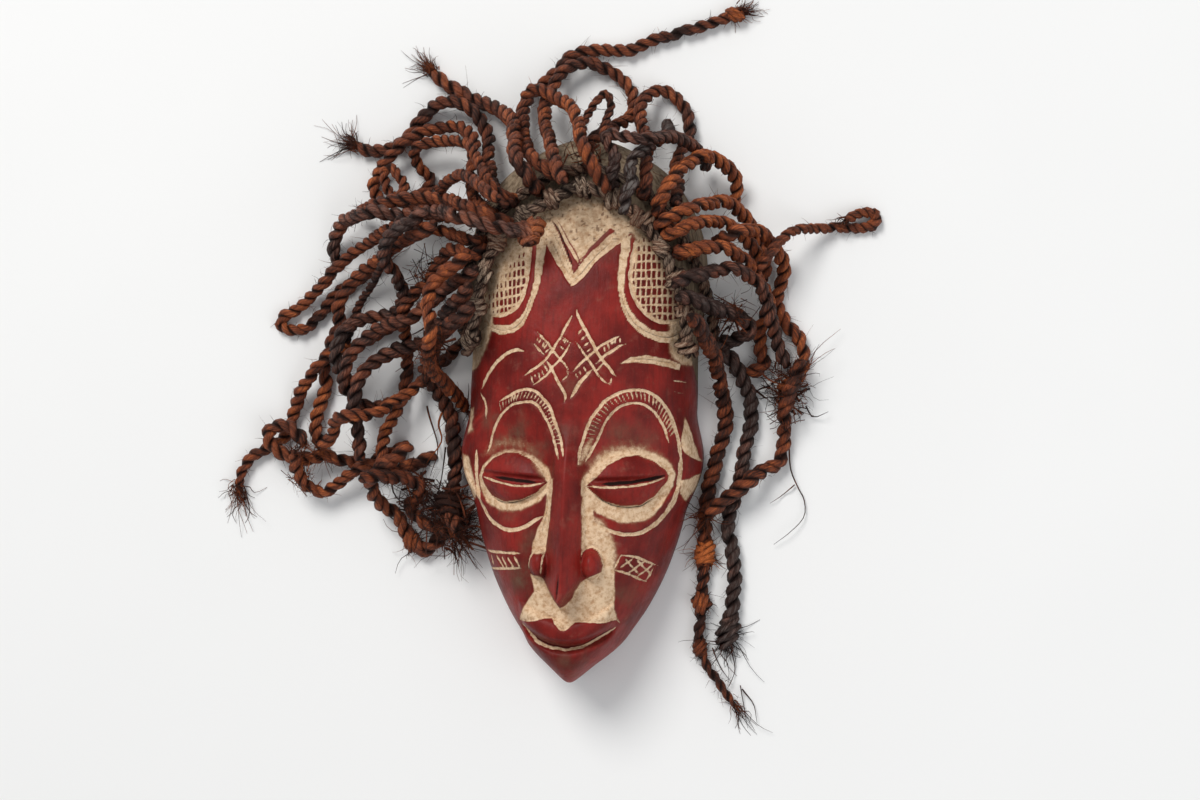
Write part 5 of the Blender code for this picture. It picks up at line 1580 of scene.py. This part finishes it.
def fibre_material(name, dark, middle, bright, dusty):
    """Twisted plant fibre: streaks along each strand, from nearly black through rust to orange, with
    painted shade in the crevices between strands, painted glints, and dust on the upper sides that is
    partly a painted highlight.
    """
    n = Nodes(name)
    fibre = n.vector("fibre")
    place = n.add("ShaderNodeTexCoord").outputs["Object"]
    streaks = n.noise(fibre, 2.4, 5.0, 0.72)
    fine = n.noise(n.scaled(fibre, (1.0, 1.0, 0.35)), 8.0, 2.0, 0.6)
    blotches = n.noise(place, 80.0, 3.0)
    tone = n.plus(n.value("tone"), n.times(n.about_half(streaks), 1.7))
    tone = n.plus(tone, n.times(n.about_half(blotches), 1.10))
    colour = n.blend(n.step(tone, 0.12, 0.58), dark, middle)
    colour = n.blend(n.step(tone, 0.52, 1.02), colour, bright)
    colour = n.blend(n.step(fine, 0.50, 0.66, 0.0, 0.8), colour, dark)
    # Painted highlight: light streaks on the lighter tone are lifted towards the bright colour as glints
    painted_glints = n.times(n.step(fine, 0.30, 0.44, 0.55, 0.0), n.step(tone, 0.2, 0.7))
    colour = n.blend(painted_glints, colour, bright)
    # Dust on the upper sides, which face the key light and the camera: partly the fibre's real dust, partly
    # a painted highlight on the tops
    normal = n.add("ShaderNodeNewGeometry").outputs["Normal"]
    up = n.add("ShaderNodeSeparateXYZ", {0: normal}).outputs["Z"]
    dust_and_painted_highlight = n.times(n.step(up, 0.1, 0.9), n.step(streaks, 0.43, 0.60))
    colour = n.blend(n.times(dust_and_painted_highlight, n.value("dust"), clamp=True), colour, dusty)
    # Painted shade: strand sides that face into the rope are darkened towards near black, standing in for
    # the shade in the crevices between strands
    painted_crevice_shade = n.step(n.value("facing"), -0.05, 0.80, 0.92, 0.0)
    colour = n.blend(painted_crevice_shade, colour, tuple(c * 0.35 for c in dark))
    height = n.plus(n.times(streaks, 1.0), n.times(fine, 0.5))
    return n.finish(colour, 0.50, height, 0.0012, **{"Specular IOR Level": 0.22})


def floor_material():
    n = Nodes("pale_floor")
    tint = n.noise(n.add("ShaderNodeTexCoord").outputs["Object"], 6.0, 2.0)
    return n.finish(n.blend(tint, *FLOOR_COLOURS), 0.9, tint, 0.0002)


# Pieces


def show(name, data, material, stands_for=()):
    data.materials.append(material)
    piece = bpy.data.objects.new(name, data)
    bpy.context.collection.objects.link(piece)
    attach(piece, "root")
    if stands_for:
        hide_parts(*stands_for)
    return piece


def make_band(ground, material):
    """A dusty cord along the hairline, with a knot over it at every second place."""
    rng = np.random.default_rng(11)
    points = band_path(ground) - (0.0, 0.0, BAND_SINK)
    ahead, aside, _ = frames_along(points)
    knots = Bundle()
    twisted(knots, through_points(points, 0.002), 2 * BAND_RADIUS * BAND_CORD, 0.30, 0.35, BAND_CORD_TURN,
            BAND_CORD_OFFSET, BAND_CORD_RADIUS, BAND_CORD_SIDES, BAND_CORD_STEP)
    for k in range(1, len(points), 2):
        axis = ahead[k] + aside[k] * rng.choice((-1.0, 1.0)) * rng.uniform(0.35, 0.85)
        wound_knot(knots, rng, points[k], axis, BAND_KNOT_PITCH * rng.uniform(0.62, 0.8),
                   BAND_KNOT_GIRTH, BAND_STRAND, rng.uniform(2.4, 3.2),
                   rng.uniform(0.25, 0.55), rng.uniform(0.55, 1.0))
        fuzz(knots, rng, points[k - 1:k + 2], 2 * BAND_RADIUS, 0.3, 0.002, FUZZ_LENGTH)
    show("hair_band_knots", knots.mesh("hair_band_knots"), material, ["hair_band"])


def braid_path(ground, step):
    """Centre points of the twisted cord behind the row of knots."""
    route = hairline_route(BRAID_SPACING + BAND_RADIUS * BAND_KNOT_SWELL, step)
    return lie_on(ground, route, BRAID_RADIUS, BAND_GAP)


def make_braid(ground, material):
    rope = Bundle()
    twisted(rope, braid_path(ground, BRAID_STEP / 3), 2 * BRAID_RADIUS, 0.32, 0.4, BRAID_TURN, *STRAND)
    show("hair_braid_rope", rope.mesh("hair_braid_rope"), material, ["hair_braid"])


def nearest_rope(paths, place):
    """Which rope runs nearest to a place of the plan, and its nearest point."""
    spot = np.array(hung_to_mask([place])[0][:2])
    gaps = [np.linalg.norm(path[:, :2] - spot, axis=1) for path in paths]
    index = int(np.argmin([gap.min() for gap in gaps]))
    return index, int(gaps[index].argmin())


def make_ropes(paths, anchors, material):
    """The ropes with their loose fibres, knots and frayed ends."""
    paths = [through_points(path, FINE_STEP) for path in paths]
    knots = [(nearest_rope(paths, place), rest) for place, *rest in ROPE_KNOTS]
    clumps = [(nearest_rope(paths, place), rest) for place, *rest in TANGLES]
    strays = [(nearest_rope(paths, stray[3][0]), stray) for stray in STRAYS]
    for index, ((width, _), path) in enumerate(zip(ROPES, paths)):
        number = index + 1
        name = "rope_lock_%02d" % number
        rng = np.random.default_rng(500 + index)
        diameter = width * ROUTE_UNIT
        looks = diameter * UNLAID.get(number, 1.0)
        pitch = TURN_PER_DIAMETER * diameter
        tone, dust = ROPE_TONES.get(number, USUAL_TONE)
        rope, loose = Bundle(), Bundle()
        twisted(rope, path, looks, tone, dust, pitch, *STRAND, thin=THINNED.get(number, 1.0))
        piece = show(name + "_twist", rope.mesh(name + "_twist"), material, [name])
        if number not in FREE_STARTS:
            twisted(loose, root_run(path, anchors), looks, tone - 0.06, dust, pitch, *STRAND)
        fuzz(loose, rng, path, diameter, tone, FUZZ_SPACING / HAIRY.get(number, 1.0), FUZZ_LENGTH)
        for owner, end, count, length, spread in FRAYS:
            if owner == number:
                place = path[-1] if end else path[0]
                direction = path[-1] - path[-3] if end else path[0] - path[2]
                tuft(loose, rng, place, direction, count, length, spread, tone + 0.1)
        for (owner, k), (lean, length, girth, strand, own_tone, own_dust, count, reach) in knots:
            if owner == index:
                k = min(max(k, 1), len(path) - 2)
                axis = np.array(Matrix.Rotation(lean, 3, "Z") @ Vector(path[k + 1] - path[k - 1]))
                wound_knot(loose, rng, path[k], axis, length, girth, strand, 3.5, own_tone, own_dust)
                tuft(loose, rng, path[k], axis, count, reach, 0.9, own_tone)
        for (owner, k), (reach, count, own_tone) in clumps:
            if owner == index:
                tangle(loose, rng, path[k], reach, count, own_tone)
        for (owner, _), (radius, rise, own_tone, line) in strays:
            if owner == index:
                plan = through_points(hung_to_mask(line), FINE_STEP)
                heights = rise * (1 + 0.4 * np.sin(np.linspace(0.0, 3 * math.pi, len(plan))))
                loose.hair(inside_reach(np.column_stack((plan, heights))), radius, own_tone)
        fibres = show(name + "_fibres", loose.mesh(name + "_fibres"), material)
        line = resample(path, FINE_STEP)


def make_floor():
    mesh = bpy.data.meshes.new("floor")
    corners = [(x * FLOOR_REACH, y * FLOOR_REACH, 0.0) for x, y in ((-1, -1), (1, -1), (1, 1), (-1, 1))]
    mesh.from_pydata(corners, [], [(0, 1, 2, 3)])
    mesh.materials.append(floor_material())
    floor = bpy.data.objects.new("floor", mesh)
    bpy.context.collection.objects.link(floor)


def add_light(name, place, size, power, colour):
    data = bpy.data.lights.new(name, "AREA")
    data.shape = "DISK"
    data.size = size
    data.energy = power
    data.color = colour
    light = bpy.data.objects.new(name, data)
    light.location = place
    light.rotation_euler = (-Vector(place)).to_track_quat("-Z", "Y").to_euler()
    bpy.context.collection.objects.link(light)


def light_scene():
    for name, settings in LIGHTS.items():
        add_light(name, *settings)
    world = bpy.data.worlds.new("studio")
    world.use_nodes = True
    background = world.node_tree.nodes["Background"]
    background.inputs["Color"].default_value = ROOM_COLOUR
    background.inputs["Strength"].default_value = ROOM_LIGHT
    bpy.context.scene.world = world
    bpy.context.scene.view_settings.view_transform = "Standard"


place_camera()
rope_fibre = fibre_material("rope_fibre", *ROPE_COLOURS)
band_fibre = fibre_material("dusty_fibre", *BAND_COLOURS)
show("mask_carved", fine_mask(), wood_material(), ["mask"])
wig_ground = Ground()
make_band(wig_ground, band_fibre)
make_braid(wig_ground, band_fibre)
band_line = band_path(wig_ground)
braid_line = braid_path(wig_ground, BRAID_STEP)
wig_ground.add_tube(through_points(band_line, MAP_TUBE_STEP), BAND_RADIUS * (1 + BAND_KNOT_SWELL))
wig_ground.add_tube(through_points(braid_line, MAP_TUBE_STEP), BRAID_RADIUS)
make_ropes(smooth_ropes(wig_ground), braid_line, rope_fibre)
make_floor()
light_scene()
